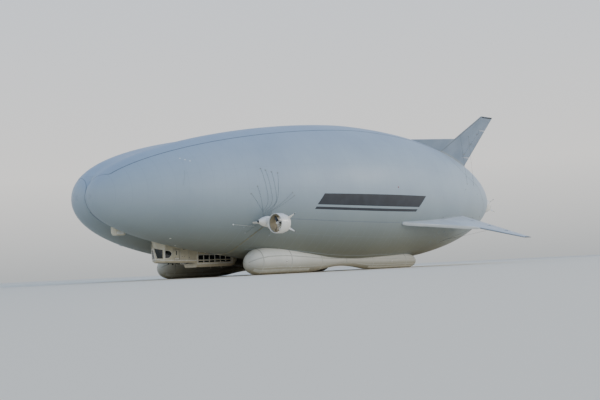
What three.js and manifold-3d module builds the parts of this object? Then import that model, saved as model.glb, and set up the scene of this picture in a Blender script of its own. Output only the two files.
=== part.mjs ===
// Twin-lobe hybrid airship at one tenth of full size, parked on its two landing skids.
// Millimetres. +X points to the nose, +Y to port, +Z up. The origin is on the floor, under the middle.
// A "station" is a distance aft of the nose tip. A "level" is a height above the hull's mid plane.
import * as THREE from "three";
import { mergeVertices } from "three/addons/utils/BufferGeometryUtils.js";
import Module from "manifold-3d";

const wasm = await Module();
wasm.setup();

// Driving dimensions
const OVERALL_LENGTH = 9200;
const HULL_LENGTH = 9000;
const HULL_WIDTH = 3410;
const HULL_HEIGHT = 2165;
const ENVELOPE_WALL = 10;
const TAIL_CUT = 8890;
const MID_PLANE_HEIGHT = 1170;
const TOUCH_GAP = 0.3;
const RUNNING_GAP = 6;
const NOSE_X = OVERALL_LENGTH / 2;
const DEGREE = Math.PI / 180;

// Colours, roughness and metalness of the finishes
const FINISH = {
  envelope: [0xd9dedd, 0.55, 0],
  skid: [0xd2d3cb, 0.6, 0],
  fin: [0xdfe4e8, 0.5, 0],
  cowl: [0xeceae2, 0.35, 0],
  cabin: [0xd8d3bd, 0.45, 0],
  glass: [0x11161a, 0.1, 0],
  blade: [0x2a2d30, 0.4, 0],
  engine: [0x6d7276, 0.5, 0.6],
};

// Solids and booleans

function weld(geometry) {
  const bare = geometry.clone();
  bare.deleteAttribute("normal");
  bare.deleteAttribute("uv");
  bare.clearGroups();
  const merged = mergeVertices(bare);
  const index = [];
  for (let i = 0; i < merged.index.count; i += 3) {
    const [a, b, c] = [0, 1, 2].map((k) => merged.index.getX(i + k));
    if (a !== b && b !== c && c !== a) index.push(a, b, c);
  }
  merged.setIndex(index);
  return merged;
}

function signedVolume(geometry) {
  const [a, b, c] = [new THREE.Vector3(), new THREE.Vector3(), new THREE.Vector3()];
  const { position } = geometry.attributes;
  let volume = 0;
  for (let i = 0; i < geometry.index.count; i += 3) {
    a.fromBufferAttribute(position, geometry.index.getX(i));
    b.fromBufferAttribute(position, geometry.index.getX(i + 1));
    c.fromBufferAttribute(position, geometry.index.getX(i + 2));
    volume += a.dot(b.cross(c)) / 6;
  }
  return volume;
}

function faceOut(geometry) {
  if (signedVolume(geometry) > 0) return geometry;
  const index = [...geometry.index.array];
  for (let i = 0; i < index.length; i += 3) [index[i], index[i + 1]] = [index[i + 1], index[i]];
  geometry.setIndex(index);
  return geometry;
}

function fromTriangles(points, triangles) {
  const geometry = new THREE.BufferGeometry();
  geometry.setAttribute("position", new THREE.Float32BufferAttribute(points.flat(), 3));
  geometry.setIndex(triangles.flat());
  return faceOut(weld(geometry));
}

function solid(geometry) {
  const closed = faceOut(weld(geometry));
  return new wasm.Manifold(new wasm.Mesh({
    numProp: 3,
    vertProperties: new Float32Array(closed.attributes.position.array),
    triVerts: new Uint32Array(closed.index.array),
  }));
}

function geometryOf(manifold) {
  const mesh = manifold.getMesh();
  const geometry = new THREE.BufferGeometry();
  geometry.setAttribute("position", new THREE.BufferAttribute(mesh.vertProperties, 3));
  geometry.setIndex(new THREE.BufferAttribute(mesh.triVerts, 1));
  return weld(geometry);
}

const join = (first, ...others) => others.reduce((whole, other) => whole.add(other), first);
const cut = (first, ...others) => others.reduce((whole, other) => whole.subtract(other), first);

function box(low, high) {
  const size = high.map((value, i) => value - low[i]);
  const centre = high.map((value, i) => (value + low[i]) / 2);
  return solid(new THREE.BoxGeometry(...size).translate(...centre));
}

// A closed skin over rings of equally many points, with a fan over each end.
function loft(rings) {
  const count = rings[0].length;
  const points = rings.flat();
  const triangles = [];
  for (let i = 0; i < rings.length - 1; i += 1) {
    for (let j = 0; j < count; j += 1) {
      const [a, b] = [i * count + j, i * count + ((j + 1) % count)];
      triangles.push([a, b, b + count], [a, b + count, a + count]);
    }
  }
  for (const [ring, start] of [[rings[0], 0], [rings.at(-1), points.length - count]]) {
    const middle = [0, 1, 2].map((k) => ring.reduce((sum, p) => sum + p[k], 0) / count);
    points.push(middle);
    for (let j = 0; j < count; j += 1) {
      const pair = [start + j, start + ((j + 1) % count)];
      if (start === 0) pair.reverse();
      triangles.push([...pair, points.length - 1]);
    }
  }
  return fromTriangles(points, triangles);
}

// A sheet between an outer and an inner grid of points, closed along all four edges.
function sheet(outer, inner) {
  const rows = outer.length;
  const columns = outer[0].length;
  const points = [...outer.flat(), ...inner.flat()];
  const triangles = [];
  const quad = (a, b, c, d) => triangles.push([a, b, c], [a, c, d]);
  const out = (i, j) => i * columns + j;
  const back = (i, j) => rows * columns + i * columns + j;
  for (let i = 0; i < rows - 1; i += 1) {
    for (let j = 0; j < columns - 1; j += 1) {
      quad(out(i, j), out(i, j + 1), out(i + 1, j + 1), out(i + 1, j));
      quad(back(i, j), back(i + 1, j), back(i + 1, j + 1), back(i, j + 1));
    }
    quad(out(i, 0), out(i + 1, 0), back(i + 1, 0), back(i, 0));
    quad(out(i, columns - 1), back(i, columns - 1), back(i + 1, columns - 1), out(i + 1, columns - 1));
  }
  for (let j = 0; j < columns - 1; j += 1) {
    quad(out(0, j), back(0, j), back(0, j + 1), out(0, j + 1));
    quad(out(rows - 1, j), out(rows - 1, j + 1), back(rows - 1, j + 1), back(rows - 1, j));
  }
  return fromTriangles(points, triangles);
}

// An outline of [x, y] corners, extruded along Z
function extruded(corners, depth) {
  const shape = new THREE.Shape(corners.map(([x, y]) => new THREE.Vector2(x, y)));
  return new THREE.ExtrudeGeometry(shape, { depth, bevelEnabled: false });
}

// A turned solid about the X axis, from [x, radius] points.
function turned(profile, segments) {
  const points = profile.map(([x, radius]) => new THREE.Vector2(radius, x));
  const lathe = new THREE.LatheGeometry(points, segments);
  return solid(lathe.rotateZ(-Math.PI / 2));
}

function rod(from, to, radius, segments = 12) {
  const [start, end] = [new THREE.Vector3(...from), new THREE.Vector3(...to)];
  const along = end.clone().sub(start);
  const geometry = new THREE.CylinderGeometry(radius, radius, along.length(), segments);
  const turn = new THREE.Quaternion().setFromUnitVectors(new THREE.Vector3(0, 1, 0), along.normalize());
  geometry.applyQuaternion(turn).translate(...start.add(end).multiplyScalar(0.5).toArray());
  return solid(geometry);
}

const toWorld = ([station, y, level]) => [NOSE_X - station, y, MID_PLANE_HEIGHT + level];
const mirrored = (manifold) => solid(geometryOf(manifold).scale(1, -1, 1));

const airship = new THREE.Group();

function place(name, finish, shape) {
  const [color, roughness, metalness] = FINISH[finish];
  const material = new THREE.MeshStandardMaterial({ color, roughness, metalness });
  const geometry = shape.isBufferGeometry ? shape : geometryOf(shape);
  geometry.computeVertexNormals();
  const mesh = new THREE.Mesh(geometry, material);
  mesh.name = name;
  airship.add(mesh);
  return mesh;
}

function placePair(name, finish, portShape) {
  place(`${name}_port`, finish, portShape);
  place(`${name}_starboard`, finish, mirrored(portShape));
}

// Hull form: each lobe's section is an ellipse about a centre that stands off the middle plane

const LOBE = {
  widestAt: 0.465,
  nose: { power: 1.489, bluntness: 0.448, spread: 0.232, spreadPower: 2.892, droop: -59, narrow: 1.064 },
  tail: { power: 2.132, bluntness: 0.667, spread: 0.232, spreadPower: 2, droop: -9.5, narrow: 0.839 },
};

function lobeAt(station) {
  const widest = LOBE.widestAt * HULL_LENGTH;
  const ahead = station < widest;
  const end = ahead ? LOBE.nose : LOBE.tail;
  const u = ahead ? (widest - station) / widest : (station - widest) / (HULL_LENGTH - widest);
  const fullness = (1 - u ** end.power) ** end.bluntness;
  const rise = (HULL_HEIGHT / 2) * fullness;
  const reach = rise * (1 + (end.narrow - 1) * u);
  const share = end.spread + (1 - end.spread) * (1 - u ** end.spreadPower);
  return { rise, reach, offset: (HULL_WIDTH - HULL_HEIGHT) / 2 * share, drop: end.droop * u * u };
}

// The top panel's seams run at this angle above the lobe's centre, and close up at both ends:
// there the neck, the last columns of each side, follows the seam towards the middle plane.
const SEAM_ANGLE = 60 * DEGREE;
const NOSE_SPLIT = 40;
const TAIL_SPLIT = 8500;
const NOSE_BLEND = 140;
const TAIL_BLEND = 1900;
const SLIT_ANGLE = 179 * DEGREE;
const SADDLE_DIP = 0.25;
const PANEL_GAP = 0.36;
const SIDE_STEPS = 16;
const NECK_STEPS = 3;
const TOP_STEPS = 6;
const STATIONS = [
  0, 8, 25, NOSE_SPLIT, 70, 110, 180, 300, 480, 720, 1050, 1500, 2050, 2700, 3400, 4100, 4800,
  5500, 6150, 6700, 7150, 7500, 7800, 8050, 8250, 8400, TAIL_SPLIT, 8620, 8760, TAIL_CUT,
];

const smooth = (value) => THREE.MathUtils.smoothstep(value, 0, 1);

// Half a hull section on the port side: the side from the lower valley to the seam, then the top
// from the seam to the middle plane. "grow" moves the skin out, and a negative value moves it in.
function halfSection(station, grow) {
  const lobe = lobeAt(station);
  const across = Math.max(lobe.reach + grow, 0);
  const up = Math.max(lobe.rise + grow, 0);
  const meets = lobe.offset - TOUCH_GAP / 2 < across * Math.cos(Math.PI - SLIT_ANGLE);
  const valley = meets ? Math.acos(-(lobe.offset - TOUCH_GAP / 2) / across) : SLIT_ANGLE;
  const open = smooth((station - NOSE_SPLIT) / NOSE_BLEND) * smooth((TAIL_SPLIT - station) / TAIL_BLEND);
  const seam = valley + (SEAM_ANGLE - valley) * open;
  const onLobe = (angle) => [lobe.offset + across * Math.cos(angle), lobe.drop + up * Math.sin(angle)];
  const side = [];
  const shoulder = Math.min(SEAM_ANGLE, seam);
  for (let j = 0; j <= SIDE_STEPS; j += 1) {
    side.push(onLobe(-valley + (shoulder + valley) * (j / SIDE_STEPS)));
  }
  for (let j = 1; j <= NECK_STEPS; j += 1) {
    side.push(onLobe(shoulder + (seam - shoulder) * (j / NECK_STEPS)));
  }
  const bridged = smooth((90 - seam / DEGREE) / 30);
  const crest = lobe.drop + up;
  const valleyDepth = up - onLobe(valley)[1] + lobe.drop;
  const seamY = onLobe(seam)[0];
  const top = [];
  for (let j = 0; j <= TOP_STEPS; j += 1) {
    const y = seamY + (onLobe(valley)[0] - seamY) * (j / TOP_STEPS);
    const plain = lobe.drop + up * Math.sqrt(Math.max(0, 1 - ((y - lobe.offset) / (across || 1)) ** 2));
    const saddle = crest - SADDLE_DIP * valleyDepth * Math.cos((Math.PI / 2) * (y / lobe.offset)) ** 2;
    top.push([y, y < lobe.offset ? plain + (saddle - plain) * bridged : plain]);
  }
  return { side, top, meets };
}

// The inner skin's stations lie behind the outer ones at the nose, by the wall's thickness.
const innerStation = (station) => station + ENVELOPE_WALL * Math.exp(-station / 200);

function sideRows(inside, from, to) {
  const rows = STATIONS.filter((station) => station >= from && station <= to);
  return rows.map((station) => {
    const section = halfSection(station, inside ? -ENVELOPE_WALL : 0);
    const joined = station === from && from > 0 ? TOUCH_GAP : 0;
    const at = (inside ? innerStation(station) : station) + joined;
    if (inside && station === 0) {
      const { offset, drop } = lobeAt(0);
      return section.side.map(() => toWorld([at, offset, drop]));
    }
    return section.side.map(([y, level]) => toWorld([at, y, level]));
  });
}

function topRows(inside) {
  const rows = STATIONS.filter((station) => station >= NOSE_SPLIT && station <= TAIL_SPLIT);
  return rows.map((station) => {
    const { top } = halfSection(station, inside ? -ENVELOPE_WALL : 0);
    const at = inside ? innerStation(station) : station;
    const closed = station === NOSE_SPLIT || station === TAIL_SPLIT;
    const level = halfSection(station, 0).top.at(-1)[1] - (inside ? ENVELOPE_WALL : 0);
    if (closed) return top.map(() => toWorld([at, 0, level]));
    const [seamY, seamLevel] = top[0];
    const points = [[seamY - PANEL_GAP, seamLevel], ...top.slice(1, -1), [0, top.at(-1)[1]]];
    return points.map(([y, z]) => toWorld([at, y, z]));
  });
}

// The space that the whole hull fills, grown a little, which trims what stands on the skin
const PAST_MIDDLE = -5;
function hullBody(grow) {
  const rings = STATIONS.map((station) => {
    const { side, top, meets } = halfSection(station, grow);
    const past = meets
      ? [[PAST_MIDDLE, top.at(-1)[1]], [PAST_MIDDLE, side[0][1]]]
      : [top.at(-1), side[0]];
    return [...side, ...top.slice(1), ...past].map(([y, level]) => toWorld([station, y, level]));
  });
  const port = solid(loft(rings));
  return port.add(mirrored(port));
}

// Each lobe's skin is made in four lengths, which meet at ring seams
// Columns: name, stations of the front and rear edges
const ENVELOPE_LENGTHS = [
  ["nose", 0, 1500],
  ["fore", 1500, 4100],
  ["rear", 4100, 6700],
  ["tail", 6700, TAIL_CUT],
];
for (const [name, from, to] of ENVELOPE_LENGTHS) {
  const skin = sheet(sideRows(false, from, to), sideRows(true, from, to));
  placePair(`envelope_${name}`, "envelope", solid(skin));
}
const halfPanel = solid(sheet(topRows(false), topRows(true)));
place("envelope_top_panel", "envelope", halfPanel.add(mirrored(halfPanel)));
const hull = hullBody(TOUCH_GAP);

// Landing skids: inflated tubes with a wide front, a raised waist and a narrower rear
// Columns: station, level of the top, level of the underside, half width
const SKID_Y = 960;
const SKID_SOLE = -MID_PLANE_HEIGHT;
const SKID_SIDES = 14;
const SKID = [
  [1924, -990, -1030, 20],
  [1956, -905, -1105, 100],
  [2050, -830, -1160, 160],
  [2217, -790, -1175, 190],
  [2512, -785, -1175, 195],
  [2857, -815, -1175, 180],
  [3201, -860, -1160, 150],
  [3496, -905, -1120, 108],
  [3792, -925, -1095, 88],
  [4087, -930, -1115, 92],
  [4382, -930, -1160, 112],
  [4677, -930, -1175, 120],
  [5169, -935, -1175, 120],
  [5464, -950, -1170, 106],
  [5592, -990, -1140, 72],
  [5624, -1040, -1090, 24],
];

function skid() {
  const rings = SKID.map(([station, high, low, halfWidth]) => {
    const ring = [];
    for (let j = 0; j < SKID_SIDES; j += 1) {
      const angle = (j / SKID_SIDES) * 2 * Math.PI;
      const level = (high + low) / 2 + ((high - low) / 2) * Math.sin(angle);
      ring.push(toWorld([station, SKID_Y + halfWidth * Math.cos(angle), level]));
    }
    return ring;
  });
  const ground = box([-NOSE_X, 0, SKID_SOLE], [NOSE_X, 2 * SKID_Y, 0]);
  return cut(solid(loft(rings)), hull, ground);
}

placePair("landing_skid", "skid", skid());

// Tail fins: each is lofted in its own plane, with a strake ahead of it and a hinged surface behind
// foot: [y, level] of a line along the hull in the fin's plane
// lean: angle of the fin's span from straight up, towards port
// Spans are measured from the foot, stations along the hull.
const FINS = [
  {
    name: "upper",
    surface: "rudder",
    foot: [825, 705],
    lean: 26 * DEGREE,
    spans: [-220, 810],
    leading: [6266, 7529],
    trailing: [7480, 7885],
    hingeAhead: [250, 120],
    halfThickness: [24, 10],
    hingedSpan: [30, 545],
    strake: [[5590, 60], [5650, 252], [6955, 350]],
    strakeThickness: 18,
  },
  {
    name: "lower",
    surface: "elevator",
    foot: [1375, -410],
    lean: 114.3 * DEGREE,
    spans: [-330, 874],
    leading: [5120, 7094],
    trailing: [6590, 7300],
    hingeAhead: [330, 100],
    halfThickness: [34, 9],
    hingedSpan: [50, 660],
    strake: [[4600, 20], [4610, 240], [6390, 443]],
    strakeThickness: 50,
  },
];
const FIN_CREST = 0.32;
const HINGE_THICKNESS = 0.66;
const EDGE_HALF = 1.5;
const TUBE_EXTRA = 2;
const FIN_CLEARANCE = 5;
const PLATE_DEPTH = 400;
const PAST_TRAILING = 700;

function finMatrix({ foot, lean }) {
  const aft = new THREE.Vector3(-1, 0, 0);
  const span = new THREE.Vector3(0, Math.sin(lean), Math.cos(lean));
  const [x, y, z] = toWorld([0, ...foot]);
  return new THREE.Matrix4().makeBasis(aft, span, aft.clone().cross(span)).setPosition(x, y, z);
}

// Value at a span of a line given by its values at the fin's two ends
function alongSpan(fin, pair, span) {
  return pair[0] + (pair[1] - pair[0]) * ((span - fin.spans[0]) / (fin.spans[1] - fin.spans[0]));
}

function finSection(fin, span) {
  const lead = alongSpan(fin, fin.leading, span);
  const trail = alongSpan(fin, fin.trailing, span);
  const hinge = trail - alongSpan(fin, fin.hingeAhead, span);
  const half = alongSpan(fin, fin.halfThickness, span);
  const crest = lead + FIN_CREST * (trail - lead);
  const upper = [[lead, EDGE_HALF], [crest, half], [hinge, half * HINGE_THICKNESS], [trail, EDGE_HALF]];
  const lower = upper.map(([station, height]) => [station, -height]).reverse();
  return [...upper, ...lower].map(([station, height]) => [station, span, height]);
}

// A plate that fills an outline in the fin's plane
function plate(outline, thickness) {
  return extruded(outline, thickness).translate(0, 0, -thickness / 2);
}

for (const fin of FINS) {
  const matrix = finMatrix(fin);
  const inWorld = (geometry) => solid(geometry.applyMatrix4(matrix));
  const hingePoint = (span) => {
    const station = alongSpan(fin, fin.trailing, span) - alongSpan(fin, fin.hingeAhead, span);
    return new THREE.Vector2(station, span);
  };
  const [near, far] = fin.hingedSpan.map(hingePoint);
  const along = far.clone().sub(near).normalize();
  const aft = new THREE.Vector2(along.y, -along.x);
  const corner = (point, back, out) => {
    const at = point.clone().addScaledVector(aft, back).addScaledVector(along, out);
    return [at.x, at.y];
  };
  const tube = alongSpan(fin, fin.halfThickness, near.y) * HINGE_THICKNESS + TUBE_EXTRA;
  const notchFront = -(tube + FIN_CLEARANCE);
  const notch = [
    corner(near, notchFront, -RUNNING_GAP), corner(near, PAST_TRAILING, -RUNNING_GAP),
    corner(far, PAST_TRAILING, RUNNING_GAP), corner(far, notchFront, RUNNING_GAP),
  ];
  const keep = [
    corner(near, 0, 0), corner(near, PAST_TRAILING, 0),
    corner(far, PAST_TRAILING, 0), corner(far, 0, 0),
  ];
  const blade = inWorld(loft(fin.spans.map((span) => finSection(fin, span))));
  const axisPoint = (point, out) => {
    const [station, span] = corner(point, 0, out);
    return new THREE.Vector3(station, span, 0).applyMatrix4(matrix).toArray();
  };
  const reachOut = RUNNING_GAP - TOUCH_GAP;
  const hingeTube = rod(axisPoint(near, -reachOut), axisPoint(far, reachOut), tube);
  const surface = blade.intersect(inWorld(plate(keep, PLATE_DEPTH))).add(hingeTube);
  const lead = (span) => [alongSpan(fin, fin.leading, span) - TOUCH_GAP, span];
  const inner = fin.strake[0][1];
  const strakeOutline = [...fin.strake.slice(0, 2), lead(fin.strake[2][1]), lead(inner)];
  placePair(`${fin.name}_fin`, "fin", cut(blade, inWorld(plate(notch, PLATE_DEPTH)), hull));
  const strake = inWorld(plate(strakeOutline, fin.strakeThickness));
  placePair(`${fin.name}_fin_strake`, "fin", cut(strake, hull));
  placePair(fin.surface, "fin", surface);
}

// Ducted propulsors: two on pylons abreast of the hull, two behind the tails
const DUCT_RADIUS = 132;
const DUCT_LENGTH = 170;
const DUCT_BORE = 119;
const DUCT_SEGMENTS = 28;
const HUB_RADIUS = 34;
const HUB_CHAMFER = [14, 6];
const STRUT_THICKNESS = 6;
const STRUT_BITE = 4;
const BLADE_TIP = 112;
const BLADES = 3;
const STRUTS = 4;

// Duct section, from [x, radius]: a thick round lip at the front, drawn in towards a thin rear edge
const FRONT = DUCT_LENGTH / 2;
const REAR_RADIUS = 113;
const REAR_BORE = 108;
const DUCT_SECTION = [
  [FRONT, 125], [FRONT - 8, DUCT_BORE + 0.5], [FRONT - 30, DUCT_BORE], [-40, DUCT_BORE],
  [-FRONT, REAR_BORE], [-FRONT, REAR_RADIUS], [-40, DUCT_RADIUS - 3], [0, DUCT_RADIUS],
  [FRONT - 12, DUCT_RADIUS - 1],
];

// Where the pieces sit along the duct's axis; a pusher has its propeller behind the struts
const LAYOUTS = {
  tractor: { hub: [-72, 4], strut: [-58, -8], shaft: [4, 10], spinner: 1 },
  pusher: { hub: [-4, 72], strut: [8, 58], shaft: [-10, -4], spinner: -1 },
};

function ductShape(layout) {
  const ring = turned([...DUCT_SECTION, DUCT_SECTION[0]], DUCT_SEGMENTS);
  const [back, front] = layout.hub;
  const [step, drop] = HUB_CHAMFER;
  const hubShape = turned([
    [back, 0], [back, HUB_RADIUS - drop], [back + step, HUB_RADIUS],
    [front - step, HUB_RADIUS], [front, HUB_RADIUS - drop], [front, 0],
  ], 16);
  const [strutBack, strutFront] = layout.strut;
  const strutLength = DUCT_BORE - HUB_RADIUS + 2 * STRUT_BITE;
  const struts = [];
  for (let k = 0; k < STRUTS; k += 1) {
    const bar = new THREE.BoxGeometry(strutFront - strutBack, strutLength, STRUT_THICKNESS);
    bar.translate((strutBack + strutFront) / 2, (DUCT_BORE + HUB_RADIUS) / 2, 0);
    struts.push(solid(bar.rotateX((k + 0.5) * (2 * Math.PI / STRUTS))));
  }
  return join(ring, hubShape, ...struts);
}

// Propeller: a spinner on a short shaft, with blades that twist from root to tip
// Columns: radius, chord, thickness, pitch angle from the disc
const BLADE_SECTIONS = [[14, 26, 9, 62], [55, 34, 6, 38], [90, 30, 4, 26], [BLADE_TIP, 18, 2.5, 20]];
const SPINNER_PROFILE = [[0, 0], [0, 26], [20, 27], [42, 17], [54, 6], [58, 0]];
const SHAFT_RADIUS = 11;
const BLADE_SEAT = 16;

function bladeSection(bladeX, [radius, chord, thickness, pitch]) {
  const [c, s] = [Math.cos(pitch * DEGREE), Math.sin(pitch * DEGREE)];
  const outline = [
    [-chord / 2, 0], [-chord / 6, thickness / 2], [chord / 2, 0], [-chord / 6, -thickness / 2],
  ];
  return outline.map(([along, thick]) => [bladeX + along * s - thick * c, radius, along * c + thick * s]);
}

function propellerShape(layout) {
  const side = layout.spinner;
  const [shaftBack, shaftFront] = layout.shaft;
  const face = side > 0 ? shaftFront : shaftBack;
  const nearHub = side > 0 ? shaftBack + TOUCH_GAP : shaftFront - TOUCH_GAP;
  const spinner = turned(SPINNER_PROFILE.map(([x, radius]) => [face + side * x, radius]), 16);
  const shaft = rod([nearHub, 0, 0], [face + side * 5, 0, 0], SHAFT_RADIUS);
  const blades = [];
  for (let k = 0; k < BLADES; k += 1) {
    const rings = BLADE_SECTIONS.map((row) => bladeSection(face + side * BLADE_SEAT, row));
    blades.push(solid(loft(rings).rotateX(k * (2 * Math.PI / BLADES))));
  }
  return join(spinner, shaft, ...blades);
}

// Outlet vanes: four pointed plates in an X behind the duct, on a thin ring
const VANE_RING_LENGTH = 10;
const VANE_THICKNESS = 5;
const VANE_REACH = 92;
const VANE_TIP_RADIUS = 182;
const VANE_FRONT = -FRONT - TOUCH_GAP;

function vaneShape() {
  const [front, back] = [VANE_FRONT, VANE_FRONT - VANE_RING_LENGTH];
  const ring = [
    [front, REAR_BORE], [front, REAR_RADIUS], [back, REAR_RADIUS - 1], [back, REAR_BORE], [front, REAR_BORE],
  ];
  const outline = [
    [front - 1, REAR_BORE + 1], [front - 1, REAR_RADIUS + 4],
    [VANE_FRONT - VANE_REACH, VANE_TIP_RADIUS], [back - 24, 60],
  ];
  const vanes = [];
  for (let k = 0; k < 4; k += 1) {
    const vane = extruded(outline, VANE_THICKNESS).translate(0, 0, -VANE_THICKNESS / 2);
    vanes.push(solid(vane.rotateX((k + 0.5) * (Math.PI / 2))));
  }
  return join(turned(ring, DUCT_SEGMENTS), ...vanes);
}

function placePropulsor(prefix, centre, shapes) {
  for (const [name, finish, shape] of shapes) {
    place(`${prefix}_${name}_port`, finish, shape).position.set(...centre);
    const twin = place(`${prefix}_${name}_starboard`, finish, mirrored(shape));
    twin.position.set(centre[0], -centre[1], centre[2]);
  }
}

// Forward propulsors
const FORWARD_DUCT = { station: 1865, y: 1700, level: -505 };
const COWL_RADIUS = 76;
const FORWARD_COWL = { nose: 1700, tail: 2145, y: 1455, level: -468 };
const PIVOT_RADIUS = 20;
const PIVOT_PAD = 36;
const PAD_PROUD = 12;
const ENGINE = [190, 100, 100];
const ENGINE_BAY = [230, 112, 104];
const ENGINE_SETBACK = 20;

// Cowl outline, from [distance aft of its nose, radius]
const COWL_LENGTH = FORWARD_COWL.tail - FORWARD_COWL.nose;
const COWL_OUTLINE = [
  [0, 0], [14, 16], [50, 38], [110, 62], [190, 75], [300, COWL_RADIUS], [COWL_LENGTH, 66], [COWL_LENGTH, 0],
];

function cowlBody(grow) {
  const body = turned(COWL_OUTLINE.map(([x, radius]) => [-x, radius && radius + grow]), 20);
  return body.translate(toWorld([FORWARD_COWL.nose, FORWARD_COWL.y, FORWARD_COWL.level]));
}

const ductCentre = toWorld([FORWARD_DUCT.station, FORWARD_DUCT.y, FORWARD_DUCT.level]);
const [tailX, cowlY, cowlZ] = toWorld([FORWARD_COWL.tail, FORWARD_COWL.y, FORWARD_COWL.level]);
const padFace = cowlY + COWL_RADIUS + PAD_PROUD;
const bayLow = [tailX - 1, cowlY - ENGINE_BAY[1] / 2, cowlZ - ENGINE_BAY[2] / 2];
const bayHigh = bayLow.map((low, i) => low + ENGINE_BAY[i]);
const padAt = (y) => [ductCentre[0], y, ductCentre[2]];
const pad = rod(padAt(cowlY), padAt(padFace), PIVOT_PAD, 20);
placePair("forward_cowl", "cowl", cut(join(cowlBody(0), pad), box(bayLow, bayHigh)));

const engineLow = [bayLow[0] + ENGINE_SETBACK, cowlY - ENGINE[1] / 2, bayLow[2] + TOUCH_GAP];
placePair("forward_engine", "engine", box(engineLow, engineLow.map((low, i) => low + ENGINE[i])));

// Pylon: a lens-shaped fairing from inside the hull's side to the cowl
const PYLON_CHORD = [1790, 2100];
const PYLON_FLAT = 70;
const PYLON_ROOT_Y = 1130;
const PYLON_HALF = [44, 30];

function pylon() {
  const [lead, trail] = PYLON_CHORD;
  const middle = (lead + trail) / 2;
  const rings = [[PYLON_ROOT_Y, PYLON_HALF[0]], [cowlY, PYLON_HALF[1]]].map(([y, half]) => {
    const outline = [
      [lead, 0], [middle - PYLON_FLAT, half], [middle + PYLON_FLAT, half],
      [trail, 0], [middle + PYLON_FLAT, -half], [middle - PYLON_FLAT, -half],
    ];
    return outline.map(([station, height]) => toWorld([station, y, FORWARD_COWL.level + height]));
  });
  return cut(solid(loft(rings)), hull, cowlBody(TOUCH_GAP));
}
placePair("forward_pylon", "cowl", pylon());

const pivotEnd = padFace + TOUCH_GAP - FORWARD_DUCT.y;
const pivot = rod([0, pivotEnd, 0], [0, -DUCT_BORE - 6, 0], PIVOT_RADIUS, 16);
placePropulsor("forward", ductCentre, [
  ["duct", "cowl", join(ductShape(LAYOUTS.tractor), pivot)],
  ["vanes", "cowl", vaneShape()],
  ["propeller", "blade", propellerShape(LAYOUTS.tractor)],
]);

// Aft propulsors: each on a cone that closes the end of a lobe, its vanes reaching the airship's end
const AFT_DUCT = { station: OVERALL_LENGTH + VANE_FRONT - VANE_REACH, y: 138, level: -60 };
const AFT_CONE_SIDES = 20;

function aftCowl() {
  const { reach, rise, offset, drop } = lobeAt(TAIL_CUT);
  const tail = AFT_DUCT.station - LAYOUTS.pusher.hub[1] - TOUCH_GAP;
  const columns = [
    [TAIL_CUT + TOUCH_GAP, reach, rise, offset, drop],
    [TAIL_CUT + 14, reach * 0.84, rise * 0.8, offset, drop],
    [tail - 6, 54, 54, AFT_DUCT.y, AFT_DUCT.level],
    [tail, 42, 42, AFT_DUCT.y, AFT_DUCT.level],
  ];
  const rings = columns.map(([station, across, up, y, level]) => {
    const ring = [];
    for (let j = 0; j < AFT_CONE_SIDES; j += 1) {
      const angle = (j / AFT_CONE_SIDES) * 2 * Math.PI;
      ring.push(toWorld([station, y + across * Math.cos(angle), level + up * Math.sin(angle)]));
    }
    return ring;
  });
  const middle = box([-NOSE_X, -HULL_WIDTH, 0], [0, TOUCH_GAP / 2, HULL_HEIGHT]);
  return cut(solid(loft(rings)), middle);
}

placePair("aft_cowl", "cowl", aftCowl());
placePropulsor("aft", toWorld([AFT_DUCT.station, AFT_DUCT.y, AFT_DUCT.level]), [
  ["duct", "cowl", ductShape(LAYOUTS.pusher)],
  ["vanes", "cowl", vaneShape()],
  ["propeller", "blade", propellerShape(LAYOUTS.pusher)],
]);

// Gondola: a flight deck with a V-shaped prow and a mission module, in the valley between the lobes
// Columns: stations of the roof, the side's foot and the floor's edge, half width,
// level of the side's foot, level of the floor, half width of the floor
const CABIN_WALL = 6;
const CABIN_ROOF = -560;
const DECK_HALF_WIDTH = 140;
const MODULE_HALF_WIDTH = 150;
const MODULE_FRONT = 1738;
const DECK_END = MODULE_FRONT - TOUCH_GAP;
const PROW_HALF = 5;
const DECK_ROWS = [
  [1053, 1132, 1150, PROW_HALF, -898, -925, PROW_HALF],
  [1175, 1175, 1190, DECK_HALF_WIDTH, -912, -940, 108],
  [DECK_END, DECK_END, DECK_END, DECK_HALF_WIDTH, -930, -958, 108],
];
const MODULE_ROWS = [
  [MODULE_FRONT, MODULE_FRONT, MODULE_FRONT, MODULE_HALF_WIDTH, -975, -1020, 118],
  [2400, 2400, 2400, MODULE_HALF_WIDTH, -975, -1020, 118],
  [2470, 2470, 2470, 138, -965, -1005, 108],
  [2520, 2520, 2520, 108, -948, -968, 80],
];
const FUEL_ROWS = [
  [4400, 4400, 4400, 70, -1000, -1020, 50],
  [4470, 4470, 4470, 115, -1070, -1090, 90],
  [5200, 5200, 5200, 115, -1070, -1090, 90],
  [5290, 5290, 5290, 70, -1000, -1020, 50],
];
const FUEL_ROOF = -820;
const MOORING_ROWS = [
  [430, 430, 430, 24, -516, -530, 16],
  [465, 465, 465, 48, -544, -556, 38],
  [590, 590, 590, 48, -544, -556, 38],
  [625, 625, 625, 28, -538, -550, 20],
];
const MOORING_ROOF = -400;

// "thin" moves the skin in by a wall's thickness, to leave the cabin's inside
function cabinBody(rows, roof, thin = 0) {
  const inner = (half) => Math.max(half - thin, PROW_HALF);
  const rings = rows.map(([roofStation, footStation, floorStation, half, foot, floor, floorHalf], i) => {
    const slant = half === PROW_HALF ? 1.25 : 1;
    const shift = i === 0 ? thin * slant : i === rows.length - 1 ? -thin : 0;
    const port = [
      [roofStation + shift, inner(half), roof],
      [footStation + shift, inner(half), foot],
      [floorStation + shift, inner(floorHalf), floor + thin],
    ];
    const starboard = port.map(([station, y, level]) => [station, -y, level]).reverse();
    return [...port, ...starboard].map(toWorld);
  });
  return solid(loft(rings));
}

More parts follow.
